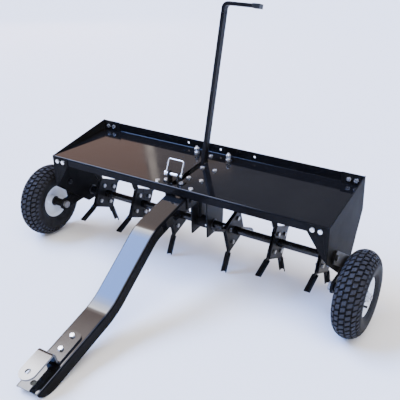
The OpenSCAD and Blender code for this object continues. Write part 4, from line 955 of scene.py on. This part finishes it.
for side, way in both_sides.items():
    casing = bmesh.new()
    lathe(casing, carcass_line(), wheel_frame(way), 96, closed=True)
    crown = [tread_row(way, row, row * row_turn, block_reach) for row in (-2, -1, 0, 1, 2)]
    add_blocks(casing, crown, *crown_block)
    lugs = [tread_row(way, row, row * lug_turn, shoulder_reach) for row in (-3, 3)]
    add_blocks(casing, lugs, *lug_block)
    tyre = finished(casing, "tyre_rubber_" + side, "wheel_" + side, "tyre", rubber, "tyre_" + side, smooth=40)
    to_wheel = (standing @ wheel_frame(way)).inverted()
    # Marks the block tops, which get the scuffed colour with its painted sheen.
    scuff_and_sheen_marks = tyre.data.attributes.new("scuff", "FLOAT", "FACE")
    for face, mark in zip(tyre.data.polygons, scuff_and_sheen_marks.data):
        at = to_wheel @ face.center
        out = math.hypot(at.x, at.y) - section_mid
        mark.value = 1.0 if math.hypot(out, at.z) > block_top and out > tread_edge else 0.0


# Valves: a short stem of black rubber in each rim's dish, pulled through its hole
# from inside so that its collar snaps over the edge, with a screwed cap.
valve_rubber = plastic("valve_rubber", (0.010, 0.010, 0.010), 0.5, 0.15, 0.2)
stem_at = 0.036
stem_line = [
    (0.0, 0.0095), (0.0060, 0.0095), (0.0060, 0.0160), (0.0044, 0.0172), (0.0037, 0.0180),
    (0.0037, 0.0262), (0.0030, 0.0266), (0.0030, 0.0276), (0.0037, 0.0280), (0.0037, 0.0325),
    (0.0032, 0.0330), (0.0, 0.0330),
]
for side, way in both_sides.items():
    body, node = "wheel_" + side, "valve_" + side
    stem = bmesh.new()
    lathe(stem, stem_line, wheel_frame(way) @ Matrix.Translation((stem_at, 0, 0)), 20)
    finished(stem, "valve_stem_" + side, body, "valve_rubber", valve_rubber, node, smooth=50)


# Tine reels: three stars on each side that turn on the shaft between spacer tubes.
# A star is two square plates bolted over four spoon tines, all sprayed black, with
# the paint rubbed thin on the spoons.
star_satin = paint(
    "star_satin_black", (0.005, 0.005, 0.0055), (0.016, 0.0155, 0.015), 0.24, 0.18, 0.08, 0.05,
)
tine_satin = paint(
    "tine_satin_black", (0.005, 0.005, 0.0055), (0.020, 0.019, 0.018), 0.22, 0.2, 0.1, 0.06,
)
tube_gloss = paint(
    "tube_gloss_black", (0.005, 0.005, 0.0055), (0.014, 0.014, 0.014), 0.10, 0.12, 0.05, 0.3,
)
star_zinc = zinc_plate("star_zinc", (0.36, 0.36, 0.37), (0.15, 0.15, 0.155), 0.28)
star_first, star_gap, star_bolt_r, star_shank = 0.111, 0.1645, 0.041, 0.022
star_turn, inner_turn = 18, 43
half_star = Vector((0.0065, 0, 0))
rightward = Vector((1, 0, 0))
for side, way in both_sides.items():
    body = "reel_" + side
    dressed("star_plates_" + side, 0.0005, "star_plate_steel_" + side, body, "star_paint", star_satin)
    dressed("tines_" + side, 0.0004, "spoon_tines_" + side, body, "tine_paint", tine_satin)
    dressed("reel_spacers_" + side, 0.0005, "reel_tubes_" + side, body, "tube_paint", tube_gloss)
    star_heads, star_backs = [], []
    for rank in range(3):
        star_at = Vector((way * (star_first + rank * star_gap), axle.y, axle.z))
        for arm in range(4):
            t = math.radians(star_turn + (inner_turn if rank == 0 else 0) + 90 * arm)
            bolt_at = star_at + Vector((0, star_bolt_r * math.cos(t), star_bolt_r * math.sin(t)))
            star_heads.append((bolt_at + half_star, rightward, star_shank))
            star_backs.append((bolt_at - half_star, -rightward, 0))
    names = ("star_bolt_set_" + side, body, "star_bolt", "star_bolts_" + side)
    screwed(star_heads, m8, 31, False, star_zinc, *names)
    names = ("star_nut_set_" + side, body, "star_bolt", "star_nuts_" + side)
    screwed(star_backs, m8, 32, True, star_zinc, *names)


# Studio: a pale floor whose rim curves up far away, and a broad soft sun from the
# front right. A warm panel and two slits stand behind on the left for the tray to
# mirror, a cool glow overhead lights the tongue's edge, and its top mirrors a band of sky.
floor_line = [
    (0.0, 0.0), (6.0, 0.0), (14.0, 0.0), (16.0, 0.15), (17.5, 0.6), (18.6, 1.4), (19.2, 2.6),
    (19.4, 4.0), (19.5, 5.6),
]
ground = bmesh.new()
lathe(ground, floor_line, Matrix.Identity(4), 64)
floor_mesh = meshed(ground, "studio_floor")
floor_mesh.shade_smooth()
floor = placed("studio_floor", floor_mesh)
floor_white = bpy.data.materials.new("floor_pale")
floor_white.use_nodes = True
chalk = floor_white.node_tree.nodes["Principled BSDF"].inputs
chalk["Base Color"].default_value = (0.94, 0.94, 0.94, 1)
chalk["Roughness"].default_value = 1.0
chalk["Specular IOR Level"].default_value = 0.0
floor_mesh.materials.append(floor_white)


def stood(name, lamp, place, way):
    """A lamp at its place, turned to shine along its way."""
    stand_at = placed(name, lamp)
    stand_at.location = place
    stand_at.rotation_mode = "QUATERNION"
    stand_at.rotation_quaternion = way.to_track_quat("-Z", "Y")
    return stand_at


def soft_light(name, size_x, size_y, place, aim, power, colour):
    lamp = bpy.data.lights.new(name, "AREA")
    lamp.shape = "RECTANGLE"
    lamp.size, lamp.size_y = size_x, size_y
    lamp.energy, lamp.color = power, colour
    return stood(name, lamp, place, Vector(aim) - Vector(place))


sun_lamp = bpy.data.lights.new("broad_sun", "SUN")
sun_lamp.energy, sun_lamp.color, sun_lamp.angle = 3.6, (1.0, 0.94, 0.86), math.radians(60)
stood("broad_sun", sun_lamp, (0, 0, 0), Vector((-0.35, 0.40, -1.0)))
soft_light("warm_panel", 2.9, 3.0, (-4.43, 3.165, 1.9), (-1.23, 0.265, 0.4), 35, (1.0, 0.56, 0.35))
soft_light("pale_slit", 0.09, 3.0, (-3.41, 4.30, 1.9), (-0.35, 1.4, 0.4), 2.6, (1.0, 0.86, 0.74))
soft_light("dim_slit", 0.90, 3.0, (-3.07, 4.68, 1.9), (0.0, 1.8, 0.4), 4.2, (1.0, 0.72, 0.55))
edge_glow = soft_light("edge_glow", 1.3, 2.0, (0.95, -0.30, 2.6), (0.0, -0.30, 0.2), 45, (0.30, 0.45, 1.0))
edge_glow.visible_diffuse = False
edge_glow.data.diffuse_factor = 0.0

surround = bpy.data.worlds.new("studio_surround")
surround.use_nodes = True
sky = surround.node_tree


def softly(value, low, high):
    """Rises softly from nothing at the low end to all at the high end."""
    made = node_of(
        sky, "ShaderNodeMapRange", interpolation_type="SMOOTHSTEP",
        Value=value, From_Min=low, From_Max=high,
    )
    return made, "Result"


sky_middle, sky_reach, sky_full = Vector((-0.57, -0.06, 0.82)), math.radians(40), math.radians(31)
look = sky.nodes.new("ShaderNodeTexCoord")
toward = node_of(sky, "ShaderNodeVectorMath", operation="DOT_PRODUCT")
toward.inputs[1].default_value = sky_middle
wire(look, "Generated", toward, 0)
fade = softly((toward, "Value"), math.cos(sky_reach), math.cos(sky_full))
spread = node_of(sky, "ShaderNodeSeparateXYZ", Vector=(look, "Generated"))
sideways = sum_of(sky, "ADD", (spread, "X"), 0.565)
band = softly(sum_of(sky, "ABSOLUTE", sideways), 0.22, 0.10)
strength = sum_of(sky, "MULTIPLY", fade, band)
cloud = node_of(sky, "ShaderNodeTexNoise", Vector=(look, "Generated"), Scale=6.0, Detail=2.0)
drift = node_of(sky, "ShaderNodeMapRange", Value=(cloud, "Fac"), To_Min=-0.04, To_Max=0.04)
rearward = node_of(sky, "ShaderNodeMapRange", Value=(spread, "Y"), From_Min=-0.6, From_Max=0.6)
where = sum_of(sky, "ADD", (rearward, "Result"), (drift, "Result"))
tone = sky.nodes.new("ShaderNodeValToRGB")
for at, glow in (
    (0.15, (8, 15, 38)), (0.30, (9, 15, 35)), (0.42, (14, 17, 27)),
    (0.54, (21, 22, 26)), (0.595, (25, 25, 27)), (0.625, (6, 5.3, 5.1)),
    (0.67, (2.9, 2.3, 2.1)), (0.76, (2.5, 2.0, 1.8)), (0.90, (1.7, 1.4, 1.3)),
):
    stop = tone.color_ramp.elements.new(at)
    stop.color = (*glow, 1)
tone.color_ramp.elements.remove(tone.color_ramp.elements[-1])
tone.color_ramp.elements.remove(tone.color_ramp.elements[0])
wire(*where, tone, "Fac")
blend = node_of(sky, "ShaderNodeMix", data_type="RGBA")
blend.inputs[6].default_value = (0.34, 0.35, 0.42, 1)
wire(*strength, blend, 0)
wire(tone, "Color", blend, 7)
wire(blend, 2, sky.nodes["Background"], "Color")
sky.nodes["Background"].inputs["Strength"].default_value = 1.0
bpy.context.scene.world = surround

# The camera's place and aim are measured on the level machine, and the picture leans a little.
eye, aim = Vector((0.9931043, -1.4442858, 0.9052262)), Vector((0, 0.1460124, -0.1134159))
picture_lean = math.radians(-1.511)
facing = (aim - eye).to_track_quat("-Z", "Y").to_matrix().to_4x4()
lens = bpy.data.cameras.new("photo_camera")
lens.sensor_width = 36
lens.lens = 57.103
camera = placed("photo_camera", lens)
camera.matrix_world = standing @ Matrix.Translation(eye) @ facing @ Matrix.Rotation(picture_lean, 4, "Z")
bpy.context.scene.camera = camera
